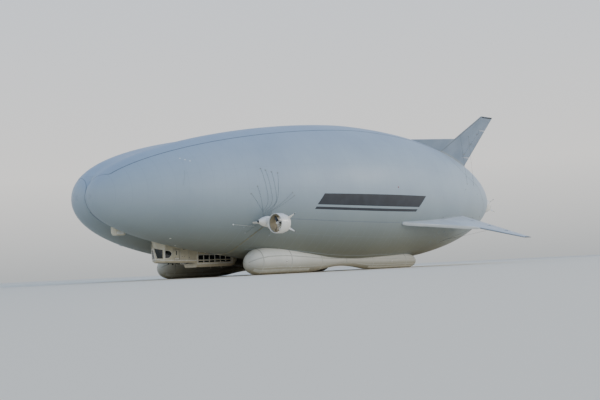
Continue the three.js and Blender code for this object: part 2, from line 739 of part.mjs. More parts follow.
// A prism over an outline of [station, level] corners, from one side distance to another
function sidePrism(outline, near, far) {
  const corners = outline.map(([station, level]) => [NOSE_X - station, MID_PLANE_HEIGHT + level]);
  return solid(extruded(corners, far - near).rotateX(Math.PI / 2).translate(0, far, 0));
}

// The same over an outline of [y, level] corners, from one station to another
function frontPrism(outline, near, far) {
  const corners = outline.map(([y, level]) => [y, MID_PLANE_HEIGHT + level]);
  const prism = extruded(corners, far - near).rotateX(Math.PI / 2).rotateZ(Math.PI / 2);
  return solid(prism.translate(NOSE_X - far, 0, 0));
}

// An outline drawn in by a gap towards its middle
function drawnIn(outline, gap) {
  const middle = [0, 1].map((k) => outline.reduce((sum, p) => sum + p[k], 0) / outline.length);
  return outline.map((point) => {
    const away = new THREE.Vector2(point[0] - middle[0], point[1] - middle[1]);
    away.setLength(away.length() - gap * Math.SQRT2);
    return [middle[0] + away.x, middle[1] + away.y];
  });
}

const rectangle = (low, high) => [[low[0], low[1]], [high[0], low[1]], [high[0], high[1]], [low[0], high[1]]];
const bothSides = (shape) => shape.add(mirrored(shape));

// Cuts window openings through a cabin's walls
function windowed(walls, windows) {
  return cut(walls, ...windows.flatMap(({ prism, outlines, span }) =>
    outlines.map((outline) => bothSides(prism(outline, ...span)))));
}

// Glazing: one band of glass against the inside of the wall, with a pane in each opening
const GLASS_DEPTH = 3;
const clearOfHull = hullBody(TOUCH_GAP + CABIN_WALL);
const clearOfRoof = hullBody(2 * TOUCH_GAP + CABIN_WALL);

function glazing(rows, { prism, outlines, span, band }) {
  const back = cabinBody(rows, CABIN_ROOF, CABIN_WALL + GLASS_DEPTH);
  const behind = cut(cabinBody(rows, CABIN_ROOF, CABIN_WALL + TOUCH_GAP), back, clearOfRoof);
  const panes = cut(cabinBody(rows, CABIN_ROOF), back, hull);
  const drawn = outlines.map((outline) => prism(drawnIn(outline, TOUCH_GAP), ...span).intersect(panes));
  return join(behind.intersect(prism(band, ...span)), ...drawn);
}

function hollowCabin(rows) {
  const inside = cut(cabinBody(rows, CABIN_ROOF, CABIN_WALL), clearOfHull);
  return cut(cabinBody(rows, CABIN_ROOF), hull, inside);
}

// The door is hinged at its front edge, on the port side; its pin stands just outside the wall
const DOOR = { front: 1342, rear: 1427, top: -765, sill: -902 };
const DOOR_GAP = 5;
const DOOR_PIN = { inset: 2, proud: 3, radius: 4 };
const BRACKET = { height: 8, half: 6, bite: 4 };
const WALL_SPAN = [DECK_HALF_WIDTH - 4 * CABIN_WALL, DECK_HALF_WIDTH + 4 * CABIN_WALL];

const DECK_SIDE_WINDOWS = {
  prism: sidePrism,
  outlines: [[[1187, -774], [1268, -784], [1298, -812], [1294, -836], [1253, -877], [1187, -880]]],
  band: [[1182, -768], [1270, -778], [1306, -810], [1302, -840], [1256, -885], [1182, -888]],
  span: WALL_SPAN,
};
const WINDSCREEN = {
  prism: frontPrism,
  outlines: [[[11, -738], [124, -765], [120, -883], [27, -880]]],
  band: rectangle([-128, -888], [128, -732]),
  span: [1040, 1176],
};

const doorHole = rectangle(
  [DOOR.front - DOOR_GAP, DOOR.sill - DOOR_GAP],
  [DOOR.rear + DOOR_GAP, DOOR.top + DOOR_GAP],
);
const doorPane = rectangle([1375, -846], [1391, -780]);
const deckBody = hollowCabin(DECK_ROWS);
const deckWalls = windowed(deckBody, [DECK_SIDE_WINDOWS, WINDSCREEN]);
const pinX = DOOR.front + DOOR_PIN.inset;
const pinY = DECK_HALF_WIDTH + DOOR_PIN.proud;
const bracket = (low, high) => box(
  toWorld([pinX + BRACKET.half, DECK_HALF_WIDTH - BRACKET.bite, low]),
  toWorld([pinX - BRACKET.half, pinY + BRACKET.half, high]),
);
const aboveDoor = DOOR.top + DOOR_GAP;
const belowDoor = DOOR.sill - DOOR_GAP;
const brackets = [
  bracket(aboveDoor, aboveDoor + BRACKET.height),
  bracket(belowDoor - BRACKET.height, belowDoor),
];
place("flight_deck", "cabin", cut(join(deckWalls, ...brackets), hull, sidePrism(doorHole, ...WALL_SPAN)));
const pane = WINDSCREEN.outlines[0];
const bothPanes = [pane, pane.map(([y, level]) => [-y, level])];
place("windscreen", "glass", glazing(DECK_ROWS, { ...WINDSCREEN, outlines: bothPanes }));
placePair("deck_side_glass", "glass", glazing(DECK_ROWS, DECK_SIDE_WINDOWS));

const leafOutline = rectangle([DOOR.front, DOOR.sill], [DOOR.rear, DOOR.top]);
const doorLeaf = sidePrism(leafOutline, ...WALL_SPAN).intersect(deckBody);
const doorPin = rod(
  toWorld([pinX, pinY, belowDoor + TOUCH_GAP]),
  toWorld([pinX, pinY, aboveDoor - TOUCH_GAP]),
  DOOR_PIN.radius,
);
place("cabin_door", "cabin", join(doorLeaf, doorPin).subtract(sidePrism(doorPane, ...WALL_SPAN)));
const doorGlass = sidePrism(drawnIn(doorPane, TOUCH_GAP), ...WALL_SPAN).intersect(doorLeaf);
place("cabin_door_glass", "glass", doorGlass);

// Mission module with two rows of six windows on each side
const WINDOW_COLUMNS = 6;
const WINDOW_PITCH = 103;
const WINDOW_WIDTH = 90;
const FIRST_WINDOW = 1762;
const WINDOW_ROWS = [[-918, -854], [-954, -931]];
const BAND_RIM = 6;
const moduleWindows = [];
for (let k = 0; k < WINDOW_COLUMNS; k += 1) {
  for (const [low, high] of WINDOW_ROWS) {
    const start = FIRST_WINDOW + k * WINDOW_PITCH;
    moduleWindows.push(rectangle([start, low], [start + WINDOW_WIDTH, high]));
  }
}
const lastWindow = FIRST_WINDOW + (WINDOW_COLUMNS - 1) * WINDOW_PITCH + WINDOW_WIDTH;
const MODULE_GLAZING = {
  prism: sidePrism,
  outlines: moduleWindows,
  band: rectangle([FIRST_WINDOW - BAND_RIM, -954 - BAND_RIM], [lastWindow + BAND_RIM, -854 + BAND_RIM]),
  span: [MODULE_HALF_WIDTH - 4 * CABIN_WALL, MODULE_HALF_WIDTH + 4 * CABIN_WALL],
};
place("mission_module", "cabin", windowed(hollowCabin(MODULE_ROWS), [MODULE_GLAZING]));
placePair("module_glass", "glass", glazing(MODULE_ROWS, MODULE_GLAZING));
place("fuel_module", "cabin", cut(cabinBody(FUEL_ROWS, FUEL_ROOF), hull));
place("nose_mooring_fairing", "cabin", cut(cabinBody(MOORING_ROWS, MOORING_ROOF), hull));

export default airship;
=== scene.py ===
"""Twin-lobe hybrid airship at one tenth of full size, parked on its skids.

Lengths in the tables are in millimetres, and place() turns them to metres.
A station is a distance aft of the nose tip, a level a height above the hull's mid plane.
+X points to the nose, +Y to port, +Z up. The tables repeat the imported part's own numbers.
"""
import math

import bmesh
import bpy
from mathutils import Matrix, Vector

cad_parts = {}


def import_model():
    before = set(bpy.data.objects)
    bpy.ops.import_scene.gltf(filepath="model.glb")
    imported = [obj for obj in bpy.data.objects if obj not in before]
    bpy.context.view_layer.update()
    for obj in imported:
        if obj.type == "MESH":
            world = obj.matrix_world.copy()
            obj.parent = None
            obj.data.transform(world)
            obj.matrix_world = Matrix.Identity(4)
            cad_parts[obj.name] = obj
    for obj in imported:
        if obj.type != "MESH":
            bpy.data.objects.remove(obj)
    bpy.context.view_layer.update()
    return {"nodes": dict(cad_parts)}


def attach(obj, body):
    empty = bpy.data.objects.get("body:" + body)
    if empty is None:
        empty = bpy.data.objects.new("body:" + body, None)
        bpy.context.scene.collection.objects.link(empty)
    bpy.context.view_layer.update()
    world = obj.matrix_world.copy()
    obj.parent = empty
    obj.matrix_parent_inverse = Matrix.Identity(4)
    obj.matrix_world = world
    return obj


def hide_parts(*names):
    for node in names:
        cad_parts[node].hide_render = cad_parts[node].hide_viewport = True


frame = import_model()

MM = 0.001
LENGTH_OVERALL = 9200.0
NOSE_X = LENGTH_OVERALL / 2
MID_PLANE = 1170.0
HULL_LENGTH = 9000.0
HULL_WIDTH = 3410.0
HULL_HEIGHT = 2165.0
SIDES = (("port", 1), ("starboard", -1))


def world(station, y, level):
    return Vector((NOSE_X - station, y, MID_PLANE + level))


# Materials


def linear(hex_colour):
    channels = [int(hex_colour[i:i + 2], 16) / 255 for i in (1, 3, 5)]
    return (*[c / 12.92 if c <= 0.04045 else ((c + 0.055) / 1.055) ** 2.4 for c in channels], 1.0)


def add(tree, kind, inputs=None, **settings):
    node = tree.nodes.new(kind)
    for key, value in settings.items():
        setattr(node, key, value)
    for key, value in (inputs or {}).items():
        if isinstance(value, bpy.types.NodeSocket):
            tree.links.new(value, node.inputs[key])
        else:
            node.inputs[key].default_value = value
    return node


def blank_material(name, sockets):
    material = bpy.data.materials.new(name)
    material.use_nodes = True
    tree = material.node_tree
    shader = tree.nodes["Principled BSDF"]
    for key, value in sockets.items():
        shader.inputs[key].default_value = value
    return material, tree, shader


# Each row: colour, colour of the blotches, roughness, metallic, grain in mm, grain depth in mm,
# blotch size in mm, further sockets
FINISHES = {
    # Upper fins: the fins' paint darkened to blue-grey as painted shade, on the carbon-fibre
    # sandwich: an even satin with slight orange peel
    "shade_darkened_fin_paint": ("#8b9bac", "#8090a2", 0.42, 0, 5, 0.10, 260, {"Coat Weight": 0.15}),
    # Lower fins: the fins' own pale paint on the sandwich, flatted to the same satin
    "pale_fin_paint": ("#c6cdcf", "#b9c1c4", 0.42, 0, 5, 0.10, 260, {"Coat Weight": 0.15}),
    # White gelcoat on glass-fibre cowls: smooth, glossy, a little warmer where the exhaust reaches
    "gelcoat_cowl": (
        "#eeece4", "#dedace", 0.3, 0, 3, 0.05, 90, {"Coat Weight": 0.4, "Coat Roughness": 0.12}),
    # Cream two-pack paint on the cabin's composite panels: satin, faintly streaked by rain
    "two_pack_cabin_paint": ("#d9d3bd", "#cfc8b1", 0.38, 0, 3, 0.06, 60, {"Coat Weight": 0.2}),
    # White enamel on aluminium window frames and trims
    "enamelled_frame": ("#f2f1ec", "#e2e0d8", 0.32, 0, 2, 0.03, 30, {"Coat Weight": 0.3}),
    # Dark polyurethane band painted on for wear under the cabin and on tips
    "wear_coating": ("#4d5153", "#3d4042", 0.62, 0, 2, 0.14, 35, {}),
    # Self-adhesive marking film: flat charcoal with crisp edges
    "marking_film": ("#2b2f36", "#353a41", 0.46, 0, 4, 0.04, 150, {}),
    # Woven tape cemented over the seams: a shade darker and flatter than the skin
    "cemented_seam_tape": ("#7c8790", "#727d87", 0.6, 0, 2.2, 0.16, 80, {}),
    # Tape of the skids' own fabric over their seams
    "skid_seam_tape": ("#b4b6ae", "#a6a8a1", 0.62, 0, 2.2, 0.16, 60, {}),
    # Painted ground reflection and painted shade on a thin ring inside the ducts: dull straw brown
    "aramid_duct_liner": ("#a89c80", "#968b72", 0.62, 0, 2.0, 0.10, 35, {}),
    # Braided sleeve of the conduits: beige, dusty
    "braided_sleeve": ("#a39c80", "#8f896f", 0.75, 0, 1.2, 0.25, 10, {}),
    # Doubler patches of the same laminate, where the stays are sewn on
    "doubler_patch": ("#98a2a5", "#8c969a", 0.62, 0, 2.2, 0.16, 30, {}),
    # Cast aluminium crankcase: grey, grainy, dull
    "sand_cast_aluminium": ("#9a9ea1", "#7f8386", 0.48, 1.0, 1.6, 0.30, 25, {}),
    # Machined stainless hinge pins and fittings
    "machined_stainless": ("#a8adb0", "#94999c", 0.3, 1.0, 1.2, 0.03, 12, {}),
    # Galvanised wire rope of the stays
    "galvanised_rope": ("#7d8386", "#63686b", 0.5, 0.7, 1.0, 0.2, 8, {}),
    # Moulded black rubber of seals, buffers and hoses
    "moulded_rubber": ("#1d1e20", "#27292b", 0.7, 0, 1.4, 0.12, 18, {}),
    # Lacquered carbon fibre of the blades: near black under a thin clear coat
    "lacquered_carbon": (
        "#26292d", "#1b1d20", 0.34, 0, 2, 0.05, 16, {"Coat Weight": 0.6, "Coat Roughness": 0.1}),
    # Frosted acrylic of the lamps
    "frosted_acrylic": ("#f4f6f6", "#e9eeee", 0.25, 0, 2, 0.02, 12, {"Coat Weight": 0.5}),
    # Dyed acrylic of the two side lamps
    "red_acrylic": ("#a8201f", "#8f1716", 0.2, 0, 2, 0.02, 12, {"Coat Weight": 0.6}),
    "green_acrylic": ("#1c7a46", "#14653a", 0.2, 0, 2, 0.02, 12, {"Coat Weight": 0.6}),
    # Woven upholstery of the seats, blue grey
    "woven_upholstery": ("#3e4a58", "#33404e", 0.85, 0, 1.2, 0.2, 14, {"Sheen Weight": 0.3}),
    # Textured plastic of the console and the cabin's lining
    "textured_abs": ("#55595c", "#4a4e51", 0.6, 0, 1.3, 0.1, 20, {}),
}


def sprayed_finish(name, row):
    """Fine grain for the bump, and a slow blotch that shifts colour and gloss a little."""
    base, blotch, roughness, metallic, grain, depth, spread, more = row
    material, tree, shader = blank_material(name, {"Metallic": metallic, **more})
    position = add(tree, "ShaderNodeTexCoord").outputs["Object"]
    slow = add(tree, "ShaderNodeTexNoise", {"Vector": position, "Scale": 1000 / spread, "Detail": 4.0})
    fine = add(tree, "ShaderNodeTexNoise", {"Vector": position, "Scale": 1000 / grain, "Detail": 2.0})
    share = add(tree, "ShaderNodeMapRange", {0: slow.outputs["Fac"], 1: 0.35, 2: 0.68}).outputs[0]
    colour = add(
        tree, "ShaderNodeMix", {0: share, 6: linear(base), 7: linear(blotch)}, data_type="RGBA")
    gloss = add(
        tree, "ShaderNodeMapRange", {0: slow.outputs["Fac"], 3: roughness - 0.06, 4: roughness + 0.08})
    bump = add(
        tree, "ShaderNodeBump", {"Strength": 0.5, "Distance": depth * MM, "Height": fine.outputs["Fac"]})
    tree.links.new(colour.outputs[2], shader.inputs["Base Color"])
    tree.links.new(gloss.outputs[0], shader.inputs["Roughness"])
    tree.links.new(bump.outputs["Normal"], shader.inputs["Normal"])
    return material


MATERIALS = {name: sprayed_finish(name, row) for name, row in FINISHES.items()}


def lines_at(tree, value, pitch, width):
    """1 on thin lines a pitch apart along value, 0 between them; lengths in metres."""
    turns = add(tree, "ShaderNodeMath", {0: value, 1: 1 / pitch}, operation="MULTIPLY").outputs[0]
    wave = add(tree, "ShaderNodeMath", {0: turns, 1: 0.5}, operation="PINGPONG").outputs[0]
    soft_half = 0.75 * width / pitch
    edge = add(tree, "ShaderNodeMapRange", {0: wave, 1: 0.0, 2: soft_half, 3: 1.0, 4: 0.0})
    return edge.outputs[0]


def inflated_fabric(name, base, blotch, seam, low_shade, roughness, panels, depths):
    """Coated fabric under pressure: welded panels, slow dents between them, and a fine weave.
    Low shade is painted shade, tinted olive as a painted ground reflection: a colour, and the
    heights in metres between which it fades out upwards."""
    material, tree, shader = blank_material(name, {"Sheen Weight": 0.08, "Specular IOR Level": 0.4})
    across, along, seam_width = panels
    seam_depth, dent_depth, weave_depth = depths
    shade_colour, shade_foot, shade_top = low_shade
    coordinates = add(tree, "ShaderNodeTexCoord")
    position = coordinates.outputs["Object"]
    parts = add(tree, "ShaderNodeSeparateXYZ", {0: coordinates.outputs["UV"]})
    ring_seams = lines_at(tree, parts.outputs["X"], along, seam_width)
    gore_seams = lines_at(tree, parts.outputs["Y"], across, seam_width)
    seams = add(tree, "ShaderNodeMath", {0: ring_seams, 1: gore_seams}, operation="MAXIMUM").outputs[0]
    slow = add(
        tree, "ShaderNodeTexNoise", {"Vector": position, "Scale": 1.4, "Detail": 5.0, "Roughness": 0.6})
    dents = add(tree, "ShaderNodeTexNoise", {"Vector": position, "Scale": 5.0, "Detail": 2.0})
    # The real threads lie 0.05 mm apart at this scale, so the weave is drawn 60 times coarser
    weave = add(tree, "ShaderNodeTexNoise", {"Vector": position, "Scale": 330.0, "Detail": 1.0})
    share = add(tree, "ShaderNodeMapRange", {0: slow.outputs["Fac"], 1: 0.36, 2: 0.66}).outputs[0]
    clean = add(
        tree, "ShaderNodeMix", {0: share, 6: linear(base), 7: linear(blotch)}, data_type="RGBA")
    # Painted shade: towards the bottom the colour turns to the darker olive shade colour, for the shade and
    # the ground's reflection under the belly
    height = add(tree, "ShaderNodeSeparateXYZ", {0: position}).outputs["Z"]
    low = add(
        tree, "ShaderNodeMapRange", {0: height, 1: shade_foot, 2: shade_top, 3: 1.0, 4: 0.0},
        interpolation_type="SMOOTHSTEP").outputs[0]
    ground = add(
        tree, "ShaderNodeMix", {0: low, 6: clean.outputs[2], 7: linear(shade_colour)}, data_type="RGBA")
    tint = add(tree, "ShaderNodeMath", {0: seams, 1: 0.55}, operation="MULTIPLY").outputs[0]
    colour = add(
        tree, "ShaderNodeMix", {0: tint, 6: ground.outputs[2], 7: linear(seam)}, data_type="RGBA")
    gloss = add(
        tree, "ShaderNodeMapRange", {0: slow.outputs["Fac"], 3: roughness - 0.05, 4: roughness + 0.07})
    first = add(
        tree, "ShaderNodeBump",
        {"Strength": 1.0, "Distance": dent_depth * MM, "Height": dents.outputs["Fac"]})
    second = add(
        tree, "ShaderNodeBump",
        {"Strength": 1.0, "Distance": seam_depth * MM, "Height": seams, "Normal": first.outputs["Normal"]})
    third = add(
        tree, "ShaderNodeBump",
        {"Strength": 0.4, "Distance": weave_depth * MM, "Height": weave.outputs["Fac"],
         "Normal": second.outputs["Normal"]})
    tree.links.new(colour.outputs[2], shader.inputs["Base Color"])
    tree.links.new(gloss.outputs[0], shader.inputs["Roughness"])
    tree.links.new(third.outputs["Normal"], shader.inputs["Normal"])
    return material


# Laminated polyester with a blue-grey weather film, cut from rolls 1.5 m wide: satin, with
# welded seams that catch the light only from close by; darker and olive towards the bottom,
# as painted shade and painted ground reflection under the belly
MATERIALS["laminated_envelope_fabric"] = inflated_fabric(
    "laminated_envelope_fabric", "#a9b9c3", "#a1b1bd", seam="#8d9ca8", low_shade=("#6b6f61", 0.1, 1.4),
    roughness=0.44, panels=(0.378, 0.152, 0.003), depths=(0.5, 0.9, 0.1))
# Thicker rubber-coated fabric of the skids: chalkier and slightly warmer, in larger panels;
# darker and olive at the foot, as painted shade and painted ground reflection
MATERIALS["rubber_coated_skid_fabric"] = inflated_fabric(
    "rubber_coated_skid_fabric", "#dcddd6", "#cccec6", seam="#b3b5ae", low_shade=("#7b7866", -0.02, 0.27),
    roughness=0.52, panels=(0.12, 0.21, 0.004), depths=(0.8, 1.6, 0.15))


def tinted_glazing():
    """Smoked polycarbonate, cast and polished: nearly black from outside, with a sharp gloss."""
    material, tree, shader = blank_material(
        "tinted_polycarbonate",
        {"Roughness": 0.05, "IOR": 1.58, "Transmission Weight": 0.35, "Coat Weight": 0.3,
         "Coat Roughness": 0.03})
    position = add(tree, "ShaderNodeTexCoord").outputs["Object"]
    dust = add(tree, "ShaderNodeTexNoise", {"Vector": position, "Scale": 24.0, "Detail": 4.0})
    share = add(
        tree, "ShaderNodeMapRange", {0: dust.outputs["Fac"], 1: 0.45, 2: 0.75, 4: 0.5}).outputs[0]
    colour = add(
        tree, "ShaderNodeMix", {0: share, 6: linear("#14191d"), 7: linear("#2a3238")}, data_type="RGBA")
    tree.links.new(colour.outputs[2], shader.inputs["Base Color"])
    return material


MATERIALS["tinted_polycarbonate"] = tinted_glazing()


def rolled_floor_paint():
    """Pale matt studio floor, painted with a roller."""
    material, tree, shader = blank_material(
        "rolled_floor_paint", {"Roughness": 0.85, "Specular IOR Level": 0.2})
    position = add(tree, "ShaderNodeTexCoord").outputs["Object"]
    slow = add(tree, "ShaderNodeTexNoise", {"Vector": position, "Scale": 0.15, "Detail": 2.0})
    colour = add(
        tree, "ShaderNodeMix", {0: slow.outputs["Fac"], 6: linear("#f8e9cd"), 7: linear("#fbedd3")},
        data_type="RGBA")
    tree.links.new(colour.outputs[2], shader.inputs["Base Color"])
    return material


MATERIALS["rolled_floor_paint"] = rolled_floor_paint()

# Shapes: each is a list of points in mm, a list of faces, and where needed a UV pair per point


def spaced(first, last, steps):
    """Evenly spaced numbers, both ends included."""
    return [first + (last - first) * k / steps for k in range(steps + 1)]


def round_angles(count):
    return [2 * math.pi * k / count for k in range(count)]


def mirrored(points):
    return [Vector((p.x, -p.y, p.z)) for p in points]


def facing(direction):
    """The turn from the X axis to a direction."""
    return Vector((1, 0, 0)).rotation_difference(direction).to_matrix()


def grid(rows, uv=None):
    columns = len(rows[0])
    faces = [
        (i * columns + j, i * columns + j + 1, (i + 1) * columns + j + 1, (i + 1) * columns + j)
        for i in range(len(rows) - 1) for j in range(columns - 1)
    ]
    return [p for row in rows for p in row], faces, uv


def loft(rings, capped=True, looped=False, uv=None):
    """A skin over closed rings of equally many points; looped joins the last ring to the first."""
    count = len(rings[0])
    points = [p for ring in rings for p in ring]
    faces = []
    for i in range(len(rings) if looped else len(rings) - 1):
        after = (i + 1) % len(rings)
        for j in range(count):
            k = (j + 1) % count
            faces.append((i * count + j, i * count + k, after * count + k, after * count + j))
    if capped and not looped:
        for start in (0, (len(rings) - 1) * count):
            points.append(sum(points[start:start + count], Vector()) / count)
            middle = len(points) - 1
            faces += [(start + j, start + (j + 1) % count, middle) for j in range(count)]
            if uv:
                uv = uv + [uv[start]]
    return points, faces, uv


def domed(rings, middle):
    """A skin over closed rings, with its last ring closed by a fan to a middle point."""
    points, faces, _ = loft(rings, capped=False)
    count = len(rings[0])
    start = len(points) - count
    faces += [(start + k, start + (k + 1) % count, len(points)) for k in range(count)]
    return points + [middle], faces, None


def merge(*shapes):
    points, faces, uvs = [], [], []
    with_uv = all(s[2] for s in shapes)
    for shape in shapes:
        base = len(points)
        points += list(shape[0])
        faces += [tuple(base + i for i in face) for face in shape[1]]
        if with_uv:
            uvs += shape[2]
    return points, faces, uvs if with_uv else None


def turned(shape, matrix):
    return [matrix @ p for p in shape[0]], shape[1], shape[2]


def moved(shape, offset):
    return [p + offset for p in shape[0]], shape[1], shape[2]


def revolve(profile, segments, looped=False):
    """A turned form about the X axis, from (x, radius) pairs."""
    rings = []
    for x, radius in profile:
        radius = max(radius, 0.05)
        rings.append([
            Vector((x, radius * math.cos(a), radius * math.sin(a))) for a in round_angles(segments)])
    return loft(rings, looped=looped)


def tube(path, radius, sides=8, taper=None):
    """A round bar along a path, with its frame carried from point to point."""
    path = [Vector(p) for p in path]
    rings = []
    across = None
    for i, point in enumerate(path):
        ahead = (path[min(i + 1, len(path) - 1)] - path[max(i - 1, 0)]).normalized()
        if across is None:
            across = ahead.orthogonal().normalized()
        across = (across - ahead * across.dot(ahead)).normalized()
        other = ahead.cross(across)
        wide = radius * (taper[i] if taper else 1)
        rings.append([
            point + wide * (math.cos(a) * across + math.sin(a) * other) for a in round_angles(sides)])
    return loft(rings)


def slab(outline, depth, bevel=0.8):
    """A plate: an outline of points in one plane, thickened by the depth vector, its edges rounded."""
    bm = bmesh.new()
    face = bm.faces.new([bm.verts.new(p) for p in outline])
    raised = bmesh.ops.extrude_face_region(bm, geom=[face])["geom"]
    bmesh.ops.translate(bm, verts=[v for v in raised if isinstance(v, bmesh.types.BMVert)], vec=depth)
    bmesh.ops.bevel(bm, geom=bm.edges[:], offset=bevel, segments=2, affect="EDGES", clamp_overlap=True)
    bm.verts.index_update()
    shape = [v.co.copy() for v in bm.verts], [tuple(v.index for v in f.verts) for f in bm.faces], None
    bm.free()
    return shape


def block(low, high, bevel):
    """A rounded block between two corners."""
    (x0, y0, z0), (x1, y1, z1) = low, high
    base = [Vector((x0, y0, z0)), Vector((x1, y0, z0)), Vector((x1, y1, z0)), Vector((x0, y1, z0))]
    return slab(base, Vector((0, 0, z1 - z0)), bevel)


def smoothed(rows, steps):
    """More rows between the rows of a table, on a smooth curve that doesn't overshoot much."""
    out = []
    last = len(rows) - 1
    for i in range(last):
        before, start, end, after = (rows[min(max(k, 0), last)] for k in (i - 1, i, i + 1, i + 2))
        for k in range(steps):
            t = k / steps
            out.append(tuple(
                b + t * (c - b)
                + t * (1 - t) * ((1 - t) * (0.5 * (c - a) - (c - b)) + t * ((c - b) - 0.5 * (d - b)))
                for a, b, c, d in zip(before, start, end, after)
            ))
    return out + [tuple(rows[-1])]


# Placing


def mesh_object(name, shape, material, sharp, side=1):
    points, faces, uv = shape
    mesh = bpy.data.meshes.new(name)
    mesh.from_pydata([(p[0] * MM, p[1] * MM * side, p[2] * MM) for p in points], [], faces)
    if uv:
        layer = mesh.uv_layers.new(name="surface")
        for loop in mesh.loops:
            layer.data[loop.index].uv = uv[loop.vertex_index]
    bm = bmesh.new()
    bm.from_mesh(mesh)
    bmesh.ops.remove_doubles(bm, verts=bm.verts, dist=1e-6)
    bmesh.ops.recalc_face_normals(bm, faces=bm.faces)
    bm.to_mesh(mesh)
    bm.free()
    mesh.shade_smooth()
    mesh.set_sharp_from_angle(angle=math.radians(sharp))
    mesh.materials.append(MATERIALS[material])
    piece = bpy.data.objects.new(name, mesh)
    bpy.context.scene.collection.objects.link(piece)
    return piece


def place(name, shape, material, body="root", replaces=(), side=1, sharp=35):
    piece = mesh_object(name, shape, material, sharp, side)
    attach(piece, body)
    if replaces:
        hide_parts(*replaces)


def place_pair(name, shape, material, body="root", replaces=(), sharp=35):
    """The same piece on both sides; a body or a node named without its side gets it here."""
    for label, side in SIDES:
        rides = body if body == "root" else f"{body}_{label}"
        place(f"{name}_{label}", shape, material, rides, [f"{n}_{label}" for n in replaces], side, sharp)


# Hull form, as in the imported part

WIDEST = 0.465 * HULL_LENGTH
NOSE_FORM = (1.489, 0.448, 0.232, 2.892, -59.0, 1.064)
TAIL_FORM = (2.132, 0.667, 0.232, 2.0, -9.5, 0.839)
SEAM_ANGLE = math.radians(60)
SLIT_ANGLE = math.radians(179)
NOSE_SPLIT, TAIL_SPLIT = 40.0, 8500.0
NOSE_BLEND, TAIL_BLEND = 140.0, 1900.0
TAIL_CUT = 8890.0
SADDLE_DIP = 0.25
TOUCH = 0.15
SIDE_STEPS, NECK_STEPS, TOP_STEPS = 56, 8, 20
STATIONS = (
    0, 3, 8, 16, 25, 40, 55, 70, 90, 110, 145, 180, 235, 300, 380, 480, 600, 720, 880, 1050, 1270, 1500,
    1770, 2050, 2370, 2700, 3050, 3400, 3750, 4100, 4450, 4800, 5150, 5500, 5825, 6150, 6425, 6700, 6925,
    7150, 7325, 7500, 7650, 7800, 7925, 8050, 8150, 8250, 8325, 8400, 8450, 8500, 8560, 8620, 8690, 8760,
    8825, 8890,
)


def in_steps(stations, steps):
    fine = [a + (b - a) * k / steps for a, b in zip(stations, stations[1:]) for k in range(steps)]
    return fine + [stations[-1]]


def eased(value):
    value = min(max(value, 0), 1)
    return value * value * (3 - 2 * value)


def lobe_at(station):
    ahead = station < WIDEST
    power, bluntness, spread, spread_power, droop, narrow = NOSE_FORM if ahead else TAIL_FORM
    u = abs(WIDEST - station) / (WIDEST if ahead else HULL_LENGTH - WIDEST)
    rise = HULL_HEIGHT / 2 * max(0, 1 - u ** power) ** bluntness
    share = spread + (1 - spread) * (1 - u ** spread_power)
    return rise * (1 + (narrow - 1) * u), rise, (HULL_WIDTH - HULL_HEIGHT) / 2 * share, droop * u * u


def half_section(station, grow=0):
    """Side and top of half a section, as (y, level, girth in metres from the widest point)."""
    reach, rise, offset, drop = lobe_at(station)
    across, up = max(reach + grow, 0), max(rise + grow, 0)
    meets = offset - TOUCH < across * math.cos(math.pi - SLIT_ANGLE)
    valley = math.acos(-(offset - TOUCH) / across) if meets else SLIT_ANGLE
    opened = eased((station - NOSE_SPLIT) / NOSE_BLEND) * eased((TAIL_SPLIT - station) / TAIL_BLEND)
    seam = valley + (SEAM_ANGLE - valley) * opened
    shoulder = min(SEAM_ANGLE, seam)

    def on_lobe(angle):
        girth = angle * HULL_HEIGHT / 2 * MM
        return offset + across * math.cos(angle), drop + up * math.sin(angle), girth

    side = [on_lobe(-valley + (shoulder + valley) * j / SIDE_STEPS) for j in range(SIDE_STEPS + 1)]
    side += [on_lobe(shoulder + (seam - shoulder) * j / NECK_STEPS) for j in range(1, NECK_STEPS + 1)]
    bridged = eased((90 - math.degrees(seam)) / 30)
    crest = drop + up
    depth = up - on_lobe(valley)[1] + drop
    seam_y = on_lobe(seam)[0]
    top = []
    for j in range(TOP_STEPS + 1):
        y = seam_y + (on_lobe(valley)[0] - seam_y) * j / TOP_STEPS
        plain = drop + up * math.sqrt(max(0, 1 - ((y - offset) / (across or 1)) ** 2))
        saddle = crest - SADDLE_DIP * depth * math.cos(math.pi / 2 * y / offset) ** 2
        level = plain + (saddle - plain) * bridged if y < offset else plain
        top.append((y, level, on_lobe(seam)[2] + (seam_y - y) * MM))
    return side, top


WALL = 8.0
NOSE_FADE = 200.0
FINE_STATIONS = in_steps(STATIONS, 3)


def fabric_sheet(stations, part):
    """An outer and an inner skin of one panel, closed along all four edges."""
    outer, inner, uv = [], [], []
    for station in stations:
        skin = half_section(station)[part]
        outer.append([world(station, y, level) for y, level, _ in skin])
        # The skin faces forward at the nose, so the wall's depth is along X there
        behind = station + WALL * math.exp(-station / NOSE_FADE)
        inner.append([world(behind, y, level) for y, level, _ in half_section(station, -WALL)[part]])
        uv += [(station * MM, girth) for _, _, girth in skin]
    points, faces, _ = merge(grid(outer), grid(inner))
    columns, last, base = len(outer[0]), len(stations) - 1, len(points) // 2
    edges = [(i * columns + j, (i + 1) * columns + j) for i in range(last) for j in (0, columns - 1)]
    edges += [(start + j, start + j + 1) for j in range(columns - 1) for start in (0, last * columns)]
    faces += [(a, b, base + b, base + a) for a, b in edges]
    return points, faces, uv + uv


place_pair(
    "envelope_skin", fabric_sheet(FINE_STATIONS, 0), "laminated_envelope_fabric",
    replaces=("envelope_nose", "envelope_fore", "envelope_rear", "envelope_tail"), sharp=60)
half_top = fabric_sheet([s for s in FINE_STATIONS if NOSE_SPLIT < s < TAIL_SPLIT], 1)
other_half = mirrored(half_top[0]), [face[::-1] for face in half_top[1]], half_top[2]
place(
    "envelope_top_skin", merge(half_top, other_half), "laminated_envelope_fabric",
    replaces=("envelope_top_panel",), sharp=60)


